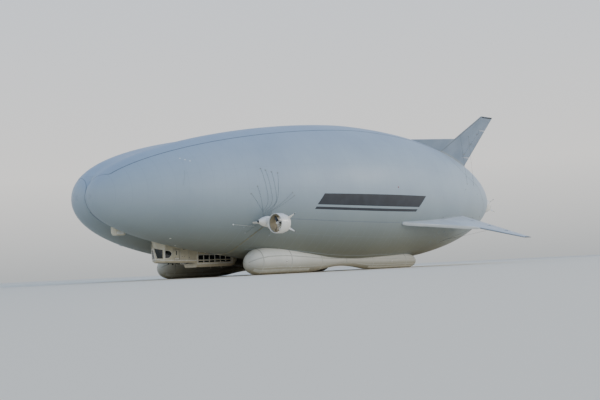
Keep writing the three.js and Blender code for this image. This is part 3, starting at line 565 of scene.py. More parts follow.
def on_girth(station, girth, lift):
    """A point of the outer section, a girth distance in mm above the seam (below it if negative)."""
    side, top = half_section(station)
    run = [Vector((y, level)) for y, level, _ in side] + [Vector((y, level)) for y, level, _ in top[1:]]
    at = len(side) - 1
    step = 1 if girth > 0 else -1
    left = abs(girth)
    while 0 < at < len(run) - 1 and left > (run[at + step] - run[at]).length:
        left -= (run[at + step] - run[at]).length
        at += step
    if not 0 < at < len(run) - 1:
        spot = run[at]
        ahead = run[min(at + 1, len(run) - 1)] - run[max(at - 1, 0)]
    else:
        ahead = run[at + step] - run[at]
        spot = run[at] + ahead.normalized() * left
        ahead = ahead * step
    normal = Vector((ahead.y, -ahead.x)).normalized()
    return world(station, spot.x + normal.x * lift, spot.y + normal.y * lift)


def skin_frame(station, degrees):
    """Point of the lobe's skin, its outward normal, and the directions aft and up along the skin."""
    def point(s, d):
        reach, rise, offset, drop = lobe_at(s)
        a = math.radians(d)
        return world(s, offset + reach * math.cos(a), drop + rise * math.sin(a))
    aft = (point(station + 2, degrees) - point(station - 2, degrees)).normalized()
    up = (point(station, degrees + 0.2) - point(station, degrees - 0.2)).normalized()
    return point(station, degrees), aft.cross(up).normalized(), aft, up


def on_skin(station, degrees, lift=0.0):
    point, normal, _, _ = skin_frame(station, degrees)
    return point + normal * lift


def between(corners, s, t):
    """A (station, degrees) pair inside four corners: top front, top rear, bottom rear, bottom front."""
    a, b, c, d = (Vector(corner) for corner in corners)
    return a.lerp(b, s).lerp(d.lerp(c, s), t)


def skin_patch(corners, lift, columns, rows):
    """A thin patch cemented to the lobe, its rim feathered down to the skin."""
    lines = []
    for j in range(rows + 1):
        line = []
        for i in range(columns + 1):
            station, degrees = between(corners, i / columns, j / rows)
            rim = i in (0, columns) or j in (0, rows)
            line.append(on_skin(station, degrees, 0.1 if rim else lift))
        lines.append(line)
    return grid(lines)


def fine_route(route, steps):
    """More points on a route of (station, degrees) pairs, on a smooth curve through three or more."""
    if len(route) == 2:
        return [tuple(Vector(route[0]).lerp(Vector(route[1]), k / steps)) for k in range(steps + 1)]
    return smoothed(route, max(2, steps // (len(route) - 1)))


def round_patch(station, degrees, radius, lift=1.0, segments=18):
    """A round doubler patch with a feathered rim."""
    point, normal, _, _ = skin_frame(station, degrees)
    rise = lobe_at(station)[1]
    rings = []
    for share, proud in ((1.0, 0.1), (0.86, lift), (0.4, lift)):
        away = radius * share
        rings.append([
            on_skin(station + away * math.cos(a), degrees + math.degrees(away * math.sin(a) / rise), proud)
            for a in round_angles(segments)
        ])
    return domed(rings, point + normal * lift)


# Seam tapes over the joints between the three skins, as (girth, lift) sections in mm

TOP_TAPE = ((-9, 0.2), (-8, 1.1), (0, 1.3), (8, 1.1), (9, 0.2))
CREASE_TAPE = ((16, 0.2), (13, 1.2), (4, 1.4))


def crease_point(station, girth, lift):
    """A point near the crease between the lobes, below the hull."""
    reach, rise, offset, drop = lobe_at(station)
    valley = math.acos(max(-1, min(1, -(offset - TOUCH) / reach))) if offset < reach else math.pi
    angle = girth / rise - valley
    y = offset + (reach + lift) * math.cos(angle)
    return world(station, max(y, 0), drop + (rise + lift) * math.sin(angle))


top_tape = [
    [on_girth(s, girth, lift) for girth, lift in TOP_TAPE]
    for s in FINE_STATIONS if NOSE_SPLIT <= s <= TAIL_SPLIT
]
place_pair("top_seam_tape", grid(top_tape), "cemented_seam_tape")
crease = []
for station in FINE_STATIONS:
    if 100 <= station <= 8700:
        port_side = [crease_point(station, girth, lift) for girth, lift in CREASE_TAPE]
        crease.append(port_side + mirrored(reversed(port_side)))
place("valley_crease_tape", grid(crease), "cemented_seam_tape")

# Landing skids: tubes that widen at the front, narrow at the waist and lie flat on their soles

SKID_Y = 960.0
# Each row: station, level of the top, level of the sole, half width
SKID = (
    (1924, -990, -1030, 20), (1956, -905, -1105, 100), (2050, -830, -1160, 160), (2217, -790, -1175, 190),
    (2512, -785, -1175, 195), (2857, -815, -1175, 180), (3201, -860, -1160, 150), (3496, -905, -1120, 108),
    (3792, -925, -1095, 88), (4087, -930, -1115, 92), (4382, -930, -1160, 112), (4677, -930, -1175, 120),
    (5169, -935, -1175, 120), (5464, -950, -1170, 106), (5592, -990, -1140, 72), (5624, -1040, -1090, 24),
)
SKID_SIDES = 40
SKID_ROWS = smoothed(SKID, 6)
# The sole's sheet as (degrees, lift)
SOLE = ((-142, 0.2), (-140, 2.0), (-125, 2.0), (-90, 2.0), (-55, 2.0), (-40, 2.0), (-38, 0.2))


def skid_point(row, angle, lift=0.0):
    station, high, low, half = row
    level = (high + low) / 2 + ((high - low) / 2 + lift) * math.sin(angle)
    point = world(station, SKID_Y + (half + lift) * math.cos(angle), level)
    point.z = max(point.z, 0.3 if lift == 0 else 0.1)
    return point


def skid_tube():
    rings, uv = [], []
    for row in SKID_ROWS:
        rings.append([skid_point(row, a) for a in round_angles(SKID_SIDES)])
        uv += [(row[0] * MM, 0.12 * (k / SKID_SIDES * 6)) for k in range(SKID_SIDES)]
    return loft(rings, uv=uv)


place_pair("skid_tube", skid_tube(), "rubber_coated_skid_fabric", replaces=("landing_skid",), sharp=70)


def skid_band(degrees):
    """A tape along the skid, at an angle about its middle."""
    lines = []
    for row in SKID_ROWS[2:-2]:
        spread = 7 / max(row[3], 40)
        section = ((-1, 0.15), (-0.85, 1.2), (0, 1.2), (0.85, 1.2), (1, 0.15))
        lines.append([skid_point(row, math.radians(degrees) + spread * k, lift) for k, lift in section])
    return grid(lines)


def skid_hoop(index):
    """A doubler band round the skid's free side."""
    row, after = SKID_ROWS[index:index + 2]
    lines = []
    for offset, lift in ((-8, 0.15), (-7, 1.4), (7, 1.4), (8, 0.15)):
        near = [a + (b - a) * offset / 60 for a, b in zip(row, after)]
        near[0] = row[0] + offset
        lines.append([skid_point(near, math.radians(a), lift) for a in spaced(-70, 250, 40)])
    return grid(lines)


def skid_sole(first, last):
    """The wear sheet bonded under the skid, which the airship stands on."""
    return grid([
        [skid_point(row, math.radians(a), lift) for a, lift in SOLE] for row in SKID_ROWS[first:last]])


def skid_fitting(station, degrees, radius):
    """A valve's flange and its plug on the skid's side."""
    row = min(SKID_ROWS, key=lambda r: abs(r[0] - station))
    angle = math.radians(degrees)
    out = (skid_point(row, angle, 10) - skid_point(row, angle)).normalized()
    flange = revolve(
        [(0, radius), (1.6, radius), (2.2, radius * 0.9), (2.2, radius * 0.52), (0.8, radius * 0.5)], 28)
    plug = revolve([(0.6, radius * 0.5), (3.4, radius * 0.46), (4.2, radius * 0.3), (4.2, 0)], 24)
    return [moved(turned(part, facing(out)), skid_point(row, angle, 1)) for part in (flange, plug)]


place_pair("skid_side_tapes", merge(*[skid_band(d) for d in (-28, 18, 160, 208)]), "skid_seam_tape")
place_pair("skid_doubler_hoops", merge(*[skid_hoop(k) for k in range(14, 75, 12)]), "skid_seam_tape")
place_pair("skid_wear_sheet", merge(skid_sole(8, 34), skid_sole(60, 84)), "skid_seam_tape")
VALVES = ((2512, -6, 15), (2780, -30, 10), (4900, -4, 11))
flanges, plugs = zip(*[skid_fitting(*valve) for valve in VALVES])
place_pair("skid_valve_flanges", merge(*flanges), "enamelled_frame")
place_pair("skid_valve_plugs", merge(*plugs), "moulded_rubber")

# Tail fins, each lofted in its own plane with rounded sections. The foot is the (y, level) of span 0;
# pairs run from the root to the tip; "hinged" holds the spans between which the surface moves; the
# strake's corners are (station, span), and the gaiter is from station, to station, height

FINS = {
    # The upper fins, their strakes and rudders wear the fins' paint darkened as painted shade
    "upper": {
        "surface": "rudder", "finish": "shade_darkened_fin_paint", "foot": (825, 705), "lean": 26,
        "spans": (-220, 810), "leading": (6266, 7529), "trailing": (7480, 7885), "hinge_ahead": (250, 120),
        "half": (24, 10), "hinged": (30, 545), "strake": ((5590, 60), (5650, 252), (6955, 350)),
        "strake_thick": 18, "ribs": (150, 300, 450, 600, 720), "gaiter": (6620, 7520, 16),
    },
    "lower": {
        "surface": "elevator", "finish": "pale_fin_paint", "foot": (1375, -410), "lean": 114.3,
        "spans": (-330, 874), "leading": (5120, 7094), "trailing": (6590, 7300), "hinge_ahead": (330, 100),
        "half": (34, 9), "hinged": (50, 660), "strake": ((4600, 20), (4610, 240), (6390, 443)),
        "strake_thick": 50, "ribs": (180, 340, 500, 660, 780), "gaiter": (5760, 6580, 18),
    },
}
CREST = 0.32
EDGE_HALF = 1.5
RUNNING_GAP = 6.0


def fin_matrix(fin):
    lean = math.radians(fin["lean"])
    aft = Vector((-1, 0, 0))
    span = Vector((0, math.sin(lean), math.cos(lean)))
    out = Matrix((aft, span, aft.cross(span))).transposed().to_4x4()
    out.translation = world(0, *fin["foot"])
    return out


def along_span(fin, key, span):
    a, b = fin[key]
    low, high = fin["spans"]
    return a + (b - a) * (span - low) / (high - low)


def hinge_station(fin, span):
    return along_span(fin, "trailing", span) - along_span(fin, "hinge_ahead", span)


def fin_half(fin, span, station):
    """Half thickness of the fin at a station: a round nose, a crest, then a long flat run aft."""
    lead, trail = along_span(fin, "leading", span), along_span(fin, "trailing", span)
    x = min(max((station - lead) / (trail - lead), 0), 1)
    full = along_span(fin, "half", span)
    if x < CREST:
        return EDGE_HALF + (full - EDGE_HALF) * math.sqrt(max(0, 1 - (1 - x / CREST) ** 2.2))
    return EDGE_HALF + (full - EDGE_HALF) * (1 - ((x - CREST) / (1 - CREST)) ** 2.6)


def both_faces(upper):
    """A closed section from the points of its upper face."""
    return upper + [Vector((p.x, p.y, -p.z)) for p in reversed(upper)]


def fin_ring(fin, span, first, last, nose=0.0):
    """Closed section between two stations; nose is the radius of a rounded front edge."""
    upper = []
    for k in range(27):
        s = first + (last - first) * 0.5 * (1 - math.cos(math.pi * k / 26))
        half = fin_half(fin, span, s)
        if nose and s - first < nose:
            half = min(half, nose * math.sqrt(max(0.02, 1 - ((first + nose - s) / nose) ** 2)))
        upper.append(Vector((s, span, half)))
    return both_faces(upper)


def fin_pieces(fin):
    """The fixed fin with its notch, the hinged surface, and the radius of that one's front edge."""
    near, far = fin["hinged"]
    low, high = fin["spans"]
    notch_low, notch_high = near - RUNNING_GAP - 2, far + RUNNING_GAP + 2
    hinge_radius = fin_half(fin, near, hinge_station(fin, near)) + 2
    notch = hinge_radius + RUNNING_GAP

    def ring_at(span, cut=False):
        last = hinge_station(fin, span) - notch if cut else along_span(fin, "trailing", span)
        return fin_ring(fin, span, along_span(fin, "leading", span), last)

    root = loft([ring_at(s) for s in spaced(low, notch_low, 6)])
    middle = loft([ring_at(s, True) for s in spaced(notch_low, notch_high, 16)])
    tip_rings = [ring_at(s) for s in spaced(notch_high, high - 6, 6)]
    last = tip_rings[-1]
    centre = sum(last, Vector()) / len(last)
    for share, out in ((0.985, -3), (0.95, -0.8), (0.86, 0)):
        tip_rings.append([
            Vector((centre.x + (p.x - centre.x) * share, high + out, p.z * share * 0.9)) for p in last])
    hinged = [
        fin_ring(
            fin, span, hinge_station(fin, span) - hinge_radius * 0.9, along_span(fin, "trailing", span),
            hinge_radius)
        for span in spaced(near, far, 14)
    ]
    return merge(root, middle, loft(tip_rings)), loft(hinged), hinge_radius


def strake_shape(fin):
    """The low plate ahead of the fin, with a rounded front edge, thinning towards it."""
    (tip, tip_span), (knee, knee_span), (end, end_span) = fin["strake"]
    thick = fin["strake_thick"] / 2
    rings = []
    for k in range(17):
        span = end_span * k / 16
        if span < tip_span:
            front = tip + 8
        elif span < knee_span:
            front = tip + (knee - tip) * (span - tip_span) / (knee_span - tip_span)
        else:
            front = knee + (end - knee) * (span - knee_span) / (end_span - knee_span)
        back = max(along_span(fin, "leading", span) - 0.3, front + 3)
        edge = 1 - max(0, (span - end_span * 0.93) / (end_span * 0.07)) * 0.5 if k > 14 else 1
        upper = []
        for j in range(13):
            s = front + (back - front) * (j / 12) ** 1.6
            rounding = min(1, math.sqrt(min((s - front) / 26, 1)) * 0.92 + 0.08)
            upper.append(Vector((s, span, thick * rounding * edge)))
        rings.append(both_faces(upper))
    return loft(rings)


def surface_lines(fin, start, end, radius=1.0, lift=0.6, steps=14):
    """Raised beads on both faces of a fin between two (station, span) pairs."""
    spots = list(zip(spaced(start[0], end[0], steps), spaced(start[1], end[1], steps)))
    return [
        tube(
            [(s, span, face * (fin_half(fin, span, s) + lift - radius * 0.6)) for s, span in spots],
            radius, 6)
        for face in (1, -1)
    ]


def leading_cap(fin):
    """A strip folded over the leading edge."""
    lines = []
    for span in spaced(fin["hinged"][0], fin["spans"][1] - 8, 20):
        lead = along_span(fin, "leading", span)
        line = []
        for j in range(-6, 7):
            lift = 0.8 if abs(j) < 6 else 0
            s = lead + 34 * (abs(j) / 6) ** 1.7
            half = fin_half(fin, span, s) + (lift or 0.1)
            line.append(Vector((s - lift, span, math.copysign(half, j) if j else 0.0)))
        lines.append(line)
    return grid(lines)


def rib_beads(fin):
    far = fin["hinged"][1]
    beads = []
    for span in fin["ribs"]:
        last = hinge_station(fin, span) - 40 if span < far + 10 else along_span(fin, "trailing", span) - 12
        beads += surface_lines(fin, (along_span(fin, "leading", span) + 40, span), (last, span))
    spar = [(hinge_station(fin, s) - 46, s) for s in fin["hinged"]]
    return merge(*beads, *surface_lines(fin, *spar))


def hinged_rib_beads(fin, hinge_radius):
    beads = []
    near, far = fin["hinged"]
    for share in (0.2, 0.4, 0.6, 0.8):
        span = near + (far - near) * share
        start = hinge_station(fin, span) + hinge_radius + 4
        last = along_span(fin, "trailing", span) - 6
        beads += surface_lines(fin, (start, span), (last, span), 0.9, 0.5, 6)
    return merge(*beads)


def trailing_strip(fin):
    near, far = fin["hinged"]
    section = ((-14, 2.6), (-3, 2.4), (0.6, 0), (-3, -2.4), (-14, -2.6))
    return grid([
        [Vector((along_span(fin, "trailing", span) + aft, span, z)) for aft, z in section]
        for span in spaced(near + 4, far - 4, 12)
    ])


def hinge_fittings(fin, hinge_radius):
    """Three hinges: the arms fixed on both faces of the fin, and the collars that turn."""
    near, far = fin["hinged"]
    arms, collars = [], []
    for share in (0.12, 0.5, 0.88):
        span = near + (far - near) * share
        axis = hinge_station(fin, span)
        proud = fin_half(fin, span, axis - 60) + 0.2
        for face in (1, -1):
            corners = ((-74, -6), (-24, -6), (-24, 6), (-74, 6))
            plate = [Vector((axis + aft, span + out, face * proud)) for aft, out in corners]
            arms.append(slab(plate, Vector((0, 0, face * 3))))
        collars.append(tube([(axis, span - 9, 0), (axis, span + 9, 0)], hinge_radius + 0.8, 20))
    return merge(*arms), merge(*collars)


def tip_strip(fin):
    """A dark strip along the tip."""
    tip = fin["spans"][1]
    front = along_span(fin, "leading", tip - 8) + 14
    lines = []
    for s in spaced(front, along_span(fin, "trailing", tip - 8) - 8, 24):
        half = fin_half(fin, tip - 8, s) + 0.7
        section = ((-26, half - 0.5), (-24, half + 0.3), (-5, half - 0.2), (0.6, half * 0.3))
        lines.append(both_faces([Vector((s, tip + out, z)) for out, z in section]))
    return grid(lines)


def root_gaiter(fin):
    """Laced fabric flap where the fin's faces meet the hull: a band that hugs both."""
    first, last, height = fin["gaiter"]
    matrix = fin_matrix(fin)
    cap = 18.0
    strips = []
    for face in (1, -1):
        rows = []
        for s in spaced(first, last, 40):
            reach, rise, offset, drop = lobe_at(s)
            low, high = -330.0, 500.0
            for _ in range(24):
                middle = (low + high) / 2
                p = matrix @ Vector((s, middle, 0))
                inside = ((p.y - offset) / reach) ** 2 + ((p.z - MID_PLANE - drop) / rise) ** 2 < 1
                low, high = (middle, high) if inside else (low, middle)
            half = fin_half(fin, low, s)
            foot = matrix @ Vector((s, low, face * (half + cap)))
            degrees = math.degrees(math.atan2((foot.z - MID_PLANE - drop) / rise, (foot.y - offset) / reach))
            on_fin = ((cap * 0.35, half + cap * 0.25), (height, half + 1.6), (height + 2, half - 0.2))
            rows.append(
                [on_skin(s, degrees, 0.2), on_skin(s, degrees, 1.6)]
                + [matrix @ Vector((s, low + up, face * away)) for up, away in on_fin])
        strips.append(grid(rows))
    return merge(*strips)


for label, fin in FINS.items():
    matrix = fin_matrix(fin)
    body, hinged, hinge_radius = fin_pieces(fin)
    surface, finish = fin["surface"], fin["finish"]
    arms, collars = hinge_fittings(fin, hinge_radius)
    for name, shape, material, rides, replaces in (
        (f"{label}_fin_panel", body, finish, "root", (f"{label}_fin",)),
        (f"{label}_strake_panel", strake_shape(fin), finish, "root", (f"{label}_fin_strake",)),
        (f"{surface}_panel", hinged, finish, surface, (surface,)),
        (f"{label}_fin_leading_cap", leading_cap(fin), "cemented_seam_tape", "root", ()),
        (f"{label}_fin_rib_beads", rib_beads(fin), finish, "root", ()),
        (f"{surface}_rib_beads", hinged_rib_beads(fin, hinge_radius), finish, surface, ()),
        (f"{surface}_trailing_strip", trailing_strip(fin), "cemented_seam_tape", surface, ()),
        (f"{label}_hinge_arms", arms, "machined_stainless", "root", ()),
        (f"{surface}_hinge_collars", collars, "machined_stainless", surface, ()),
        (f"{label}_fin_tip_strip", tip_strip(fin), "wear_coating", "root", ()),
    ):
        place_pair(name, turned(shape, matrix), material, rides, replaces)
for label, fin in FINS.items():
    place_pair(f"{label}_fin_root_gaiter", root_gaiter(fin), "doubler_patch")

# Bracing wires from the hull to each fin, with their patches and turnbuckles


def taut_wire(start, end):
    """A straight wire with a turnbuckle near its foot and a swaged end."""
    way = end - start
    ahead = way.normalized()
    turnbuckle = start + way * 0.12
    return merge(
        tube([start + way * (k / 8) for k in range(9)], 1.3),
        tube([turnbuckle + ahead * d for d in (0, 12, 26, 38)], 3.2, 10, (0.45, 1, 1, 0.45)),
        tube([end - ahead * 16, end], 2.6, 10))


# Each row: the fin, the foot as (station, degrees), the end as (station, span)
BRACES = (
    ("lower", (6540, -52), (6640, 470)), ("lower", (6180, -54), (6330, 380)),
    ("upper", (6900, 14), (7080, 430)), ("upper", (7300, 16), (7320, 430)),
)
for number, (label, foot, (station, span)) in enumerate(BRACES):
    fin = FINS[label]
    start = on_skin(*foot, 2)
    half = fin_half(fin, span, station)
    ends = [fin_matrix(fin) @ Vector((station, span, face * half)) for face in (1, -1)]
    end = min(ends, key=lambda p: (p - start).length)
    place_pair(f"{label}_fin_brace_{number}", taut_wire(start, end), "galvanised_rope")
    place_pair(f"{label}_fin_brace_patch_{number}", round_patch(*foot, 20), "doubler_patch")

# Ducted propulsors: the shapes are about the duct's middle, with the axis along X

DUCT_OUTLINE = (
    (60, 119), (72, 119.2), (79, 120), (83.5, 121.8), (85, 124.4), (83.8, 127.4), (80, 129.6), (73, 131),
    (58, 131.7), (30, 132), (0, 132), (-25, 130.6), (-40, 128.6), (-62, 121.6), (-85, 113), (-85.6, 111.6),
    (-85.2, 110.2), (-84, 109.4), (-62, 114), (-40, 118), (-20, 119), (20, 119),
)
# Profile of a thin ring just inside the duct's bore, which carries only painted reflection and shade
DUCT_TINT_RING = (
    (64, 118.3), (30, 118.2), (-20, 118.2), (-40, 117.3), (-60, 113.7), (-66, 112.9), (-66, 113.6),
    (-40, 118.2), (-20, 119.2), (30, 119.2), (64, 119.2),
)
DUCT_LIP = ((60, 118.7), (74, 118.6), (76, 119.2), (75, 119.8), (60, 119.6))
ROUND = 72
HUB_RADIUS = 34.0
LAYOUTS = {
    "tractor": {"hub": (-72, 4), "strut": (-58, -8), "shaft": (4, 10), "spinner": 1},
    "pusher": {"hub": (-4, 72), "strut": (8, 58), "shaft": (-10, -4), "spinner": -1},
}
# Each row of a strut: radius, share of the full chord; each row of a blade: radius, chord, thickness,
# pitch in degrees
STRUT = ((30, 1.1), (44, 1), (80, 0.94), (112, 1), (120.5, 1.16))
BLADE = (
    (14, 26, 9, 62), (34, 31, 7.2, 48), (55, 34, 6, 38), (74, 33, 4.8, 31), (90, 30, 4, 26),
    (104, 25, 3, 22), (110, 19, 2.4, 20.5), (112, 10, 1.4, 20),
)
SPINNER = (
    (0, 0), (0, 24), (1.2, 25.6), (4, 26.4), (20, 27), (30, 24.6), (42, 17.8), (50, 11), (56, 4.6), (58, 0))
SPINNER_BAND = ((6, 26.6), (6.6, 27.3), (8.4, 27.3), (9, 26.7))
VANE_FRONT = -85.3
VANE_TAIL = VANE_FRONT - 92


def aerofoil(chord, thickness, steps=9):
    """Closed outline with a round nose at +chord/2 and a thin tail at -chord/2."""
    upper = []
    for k in range(steps + 1):
        x = 0.5 * (1 - math.cos(math.pi * k / steps))
        t = 2.6 * thickness * (
            0.2969 * math.sqrt(x) - 0.126 * x - 0.3516 * x * x + 0.2843 * x ** 3 - 0.1015 * x ** 4)
        upper.append((chord * (0.5 - x), max(t, 0.12)))
    return upper + [(a, -t) for a, t in reversed(upper[1:-1])]


def quarter_turn(k):
    """The turn to one of four struts or vanes, which stand between the duct's axes."""
    return Matrix.Rotation((k + 0.5) * math.pi / 2, 4, "X")


def duct_shape(layout):
    back, front = layout["hub"]
    hub = revolve(
        [(back, 0), (back, 24), (back + 3, 28), (back + 14, 33), (back + 24, HUB_RADIUS),
         (front - 14, HUB_RADIUS), (front - 4, 31.5), (front, 27), (front, 0)], 40)
    strut_back, strut_front = layout["strut"]
    middle = (strut_back + strut_front) / 2
    rings = []
    for radius, share in STRUT:
        outline = aerofoil((strut_front - strut_back) * share, 6 * share)
        rings.append([Vector((middle + a, radius, t)) for a, t in outline])
    struts = [turned(loft(rings), quarter_turn(k)) for k in range(4)]
    return merge(revolve(DUCT_OUTLINE, ROUND, looped=True), hub, *struts)


def propeller_shapes(layout):
    """The spinner, the shaft with the blades' cuffs, and the three blades."""
    side = layout["spinner"]
    shaft_back, shaft_front = layout["shaft"]
    face = shaft_front if side > 0 else shaft_back
    near_hub = shaft_back + 0.3 if side > 0 else shaft_front - 0.3
    middle = face + side * 16
    rings = []
    for radius, chord, thickness, pitch in BLADE:
        c, s = math.cos(math.radians(pitch)), math.sin(math.radians(pitch))
        outline = aerofoil(chord, thickness, 7)
        rings.append([Vector((middle + a * s - t * c, radius, a * c + t * s)) for a, t in outline])
    cuff = tube([(middle, 20, 0), (middle, 30, 0)], 6.5, 18, (1, 0.8))
    thirds = [Matrix.Rotation(k * 2 * math.pi / 3, 4, "X") for k in range(3)]
    spinner, band = (
        revolve([(face + side * x, radius) for x, radius in profile], 40)
        for profile in (SPINNER, SPINNER_BAND))
    shaft = tube([(near_hub, 0, 0), (face + side * 5, 0, 0)], 11, 24)
    return (
        merge(spinner, band), merge(shaft, *[turned(cuff, turn) for turn in thirds]),
        merge(*[turned(loft(rings), turn) for turn in thirds]))


def vane_shape():
    front, back = VANE_FRONT, VANE_FRONT - 10
    ring = revolve([(front, 108), (front, 113), (back, 112), (back, 108)], ROUND, looped=True)
    outline = ((front - 1, 109), (front - 1, 117), (VANE_TAIL, 182), (back - 24, 60))
    plate = slab([Vector((x, r, -2.5)) for x, r in outline], Vector((0, 0, 5)), 1.4)
    spine = tube([(front - 4, 110, 0), (front - 66, 146, 0)], 3.6, 12, (1, 0.6))
    return merge(ring, *[turned(merge(plate, spine), quarter_turn(k)) for k in range(4)])


def vane_tips():
    """Dark sleeves on the corners of the two outboard vanes."""
    corners = ((VANE_TAIL + 1, 181), (VANE_FRONT - 68, 164.5), (VANE_FRONT - 74, 150))
    sleeve = slab([Vector((x, r, -3.4)) for x, r in corners], Vector((0, 0, 6.8)))
    return merge(turned(sleeve, quarter_turn(0)), turned(sleeve, quarter_turn(3)))


def trim_ring(radius, x):
    profile = [(x, radius - 1), (x, radius + 1), (x + 3, radius + 1), (x + 3, radius - 1)]
    return revolve(profile, ROUND, looped=True)


def place_propulsor(prefix, centre, layout, duct_body, pivot=None):
    """A duct and its propeller; pivot is where its inboard stub shaft ends, from the centre."""
    duct = duct_shape(layout)
    if pivot:
        stub = tube([(0, pivot, 0), (0, -128, 0)], 20, 28)
        duct = merge(duct, stub, tube([(0, pivot + 10, 0), (0, pivot + 3, 0)], 27, 28))
    trims = merge(trim_ring(131.8, 44), trim_ring(130.3, -30))
    hub_back, hub_front = layout["hub"]
    cap_x, inward = (hub_back, 1) if layout["spinner"] > 0 else (hub_front, -1)
    seal = revolve([(cap_x + inward * x, r) for x, r in ((6, 31.5), (5, 33.4), (1, 31), (0, 27.6))], 40)
    # The ring inside the bore is straw brown: painted ground reflection and painted shade
    lip, tint_ring = (revolve(profile, ROUND, looped=True) for profile in (DUCT_LIP, DUCT_TINT_RING))
    spinner, shaft, blades = propeller_shapes(layout)
    propeller = f"{prefix}_propeller"
    for name, shape, material, body, replaces in (
        ("duct_shroud", duct, "gelcoat_cowl", duct_body, (f"{prefix}_duct",)),
        ("outlet_vanes", vane_shape(), "gelcoat_cowl", duct_body, (f"{prefix}_vanes",)),
        ("vane_dark_tips", vane_tips(), "wear_coating", duct_body, ()),
        ("duct_trim_rings", trims, "enamelled_frame", duct_body, ()),
        ("duct_rub_strip", lip, "doubler_patch", duct_body, ()),
        ("duct_liner", tint_ring, "aramid_duct_liner", duct_body, ()),
        ("hub_seal", seal, "moulded_rubber", duct_body, ()),
        ("propeller_blades", blades, "lacquered_carbon", propeller, (propeller,)),
        ("propeller_spinner", spinner, "gelcoat_cowl", propeller, ()),
        ("propeller_shaft", shaft, "machined_stainless", propeller, ()),
    ):
        place_pair(f"{prefix}_{name}", moved(shape, centre), material, body, replaces)


# Forward cowl, as (distance behind its nose, radius), with the pad that carries the duct's shaft

DUCT_Y = 1700
FORWARD_CENTRE = world(1865, DUCT_Y, -505)
COWL_Y, COWL_LEVEL, COWL_NOSE = 1455.0, -468.0, 1700.0
PAD_FOOT, PAD_FACE = 40, 88
COWL_OUTLINE = (
    (0, 0), (2, 6), (7, 12), (14, 17), (30, 27.5), (50, 38), (78, 51), (110, 62), (150, 70), (190, 74.4),
    (240, 76), (300, 76), (350, 75), (400, 71), (432, 67.4), (442, 66), (445, 62), (445, 54),
)
COWL_ORIGIN = world(COWL_NOSE, COWL_Y, COWL_LEVEL)
cowl = moved(revolve([(-x, r) for x, r in COWL_OUTLINE], 56), COWL_ORIGIN)
pad_low, pad_high = (
    Vector((FORWARD_CENTRE.x, COWL_Y + out, FORWARD_CENTRE.z)) for out in (PAD_FOOT, PAD_FACE))
pad = tube([pad_low.lerp(pad_high, share) for share in (0, 0.7, 0.96, 1)], 36, 40, (1.25, 1.04, 1, 0.93))
place_pair("forward_cowl_shell", merge(cowl, pad), "gelcoat_cowl", replaces=("forward_cowl",))


def on_cowl(x, degrees, lift=0.0):
    """A point on the cowl, x behind its nose, the angle counted from port over the top."""
    (x0, r0), (x1, r1) = next(
        pair for pair in zip(COWL_OUTLINE, COWL_OUTLINE[1:]) if pair[0][0] <= x <= pair[1][0])
    r = r0 + (r1 - r0) * (x - x0) / (x1 - x0) + lift
    a = math.radians(degrees)
    return COWL_ORIGIN + Vector((-x, r * math.cos(a), r * math.sin(a)))


def cowl_joint(x0, d0, x1, d1, steps=24):
    spots = zip(spaced(x0, x1, steps), spaced(d0, d1, steps))
    return tube([on_cowl(x, d, 0.2) for x, d in spots], 0.9, 6)


def cowl_plate(x0, x1, d0, d1, lift, steps=8):
    rows = []
    for i, x in enumerate(spaced(x0, x1, steps)):
        rows.append([
            on_cowl(x, d, 0.1 if i in (0, steps) or j in (0, steps) else lift)
            for j, d in enumerate(spaced(d0, d1, steps))
        ])
    return grid(rows)


cowl_joints = [cowl_joint(x, 0, x, 360, 60) for x in (112, 386)]
cowl_joints += [cowl_joint(112, d, 386, d) for d in (34, 146, 214, 326)]
place_pair("cowl_panel_joints", merge(*cowl_joints), "doubler_patch")
louvres = [cowl_plate(x, x + 9, d, d + 38, 2.4, 5) for x in range(200, 300, 16) for d in (50, -74)]
place_pair("cowl_louvre_slats", merge(*louvres), "wear_coating")
COWL_HATCHES = ((130, 186, 44, 92), (310, 370, 40, 96), (140, 260, 2, 26))
cowl_hatches = [cowl_plate(*corners, 1.2) for corners in COWL_HATCHES]
place_pair("cowl_access_hatches", merge(*cowl_hatches), "enamelled_frame")
screw = revolve([(0, 1.9), (1.1, 1.8), (1.5, 0)], 12)
screws = []
for x in range(124, 386, 26):
    for d in (31, 149, 211, 329):
        out = (on_cowl(x, d, 5) - on_cowl(x, d)).normalized()
        screws.append(moved(turned(screw, facing(out)), on_cowl(x, d, 0.2)))
place_pair("cowl_quarter_turn_screws", merge(*screws), "machined_stainless")
buffer = revolve([(0.8, 0), (-1.5, 7), (-6.6, 12.8), (-13, 17.6), (-15, 16)], 40)
place_pair("cowl_nose_buffer", moved(buffer, COWL_ORIGIN), "marking_film")
exhaust = [on_cowl(x, -100, lift) for x, lift in ((330, -20), (338, 6), (356, 20), (388, 24))]
place_pair("cowl_exhaust_stub", tube(smoothed(exhaust, 5), 10, 20), "sand_cast_aluminium")
INTAKE = ((-14, 12), (-8, 15), (-8, 19), (-14, 21), (-60, 23), (-92, 15), (-60, 11))
scoop = moved(revolve(INTAKE, 32, looped=True), COWL_ORIGIN + Vector((-196, 0, -72)))
place_pair("cowl_air_scoop", scoop, "gelcoat_cowl")

# Pylon from the hull to the cowl, with a collar where it meets the cowl

PYLON_ROOT_Y, PYLON_STATION, PYLON_CHORD = 1130, 1945, 310


def pylon_ring(y, chord_share=1.0, thick_share=1.0, grow=0.0):
    """The pylon's section at a distance to port; grow thickens it by as much above and below."""
    half = (44 - 14 * (y - PYLON_ROOT_Y) / (COWL_Y - PYLON_ROOT_Y)) * thick_share
    return [
        world(PYLON_STATION - a * chord_share, y, COWL_LEVEL + t + math.copysign(grow, t))
        for a, t in aerofoil(PYLON_CHORD, 2 * half, 14)
    ]


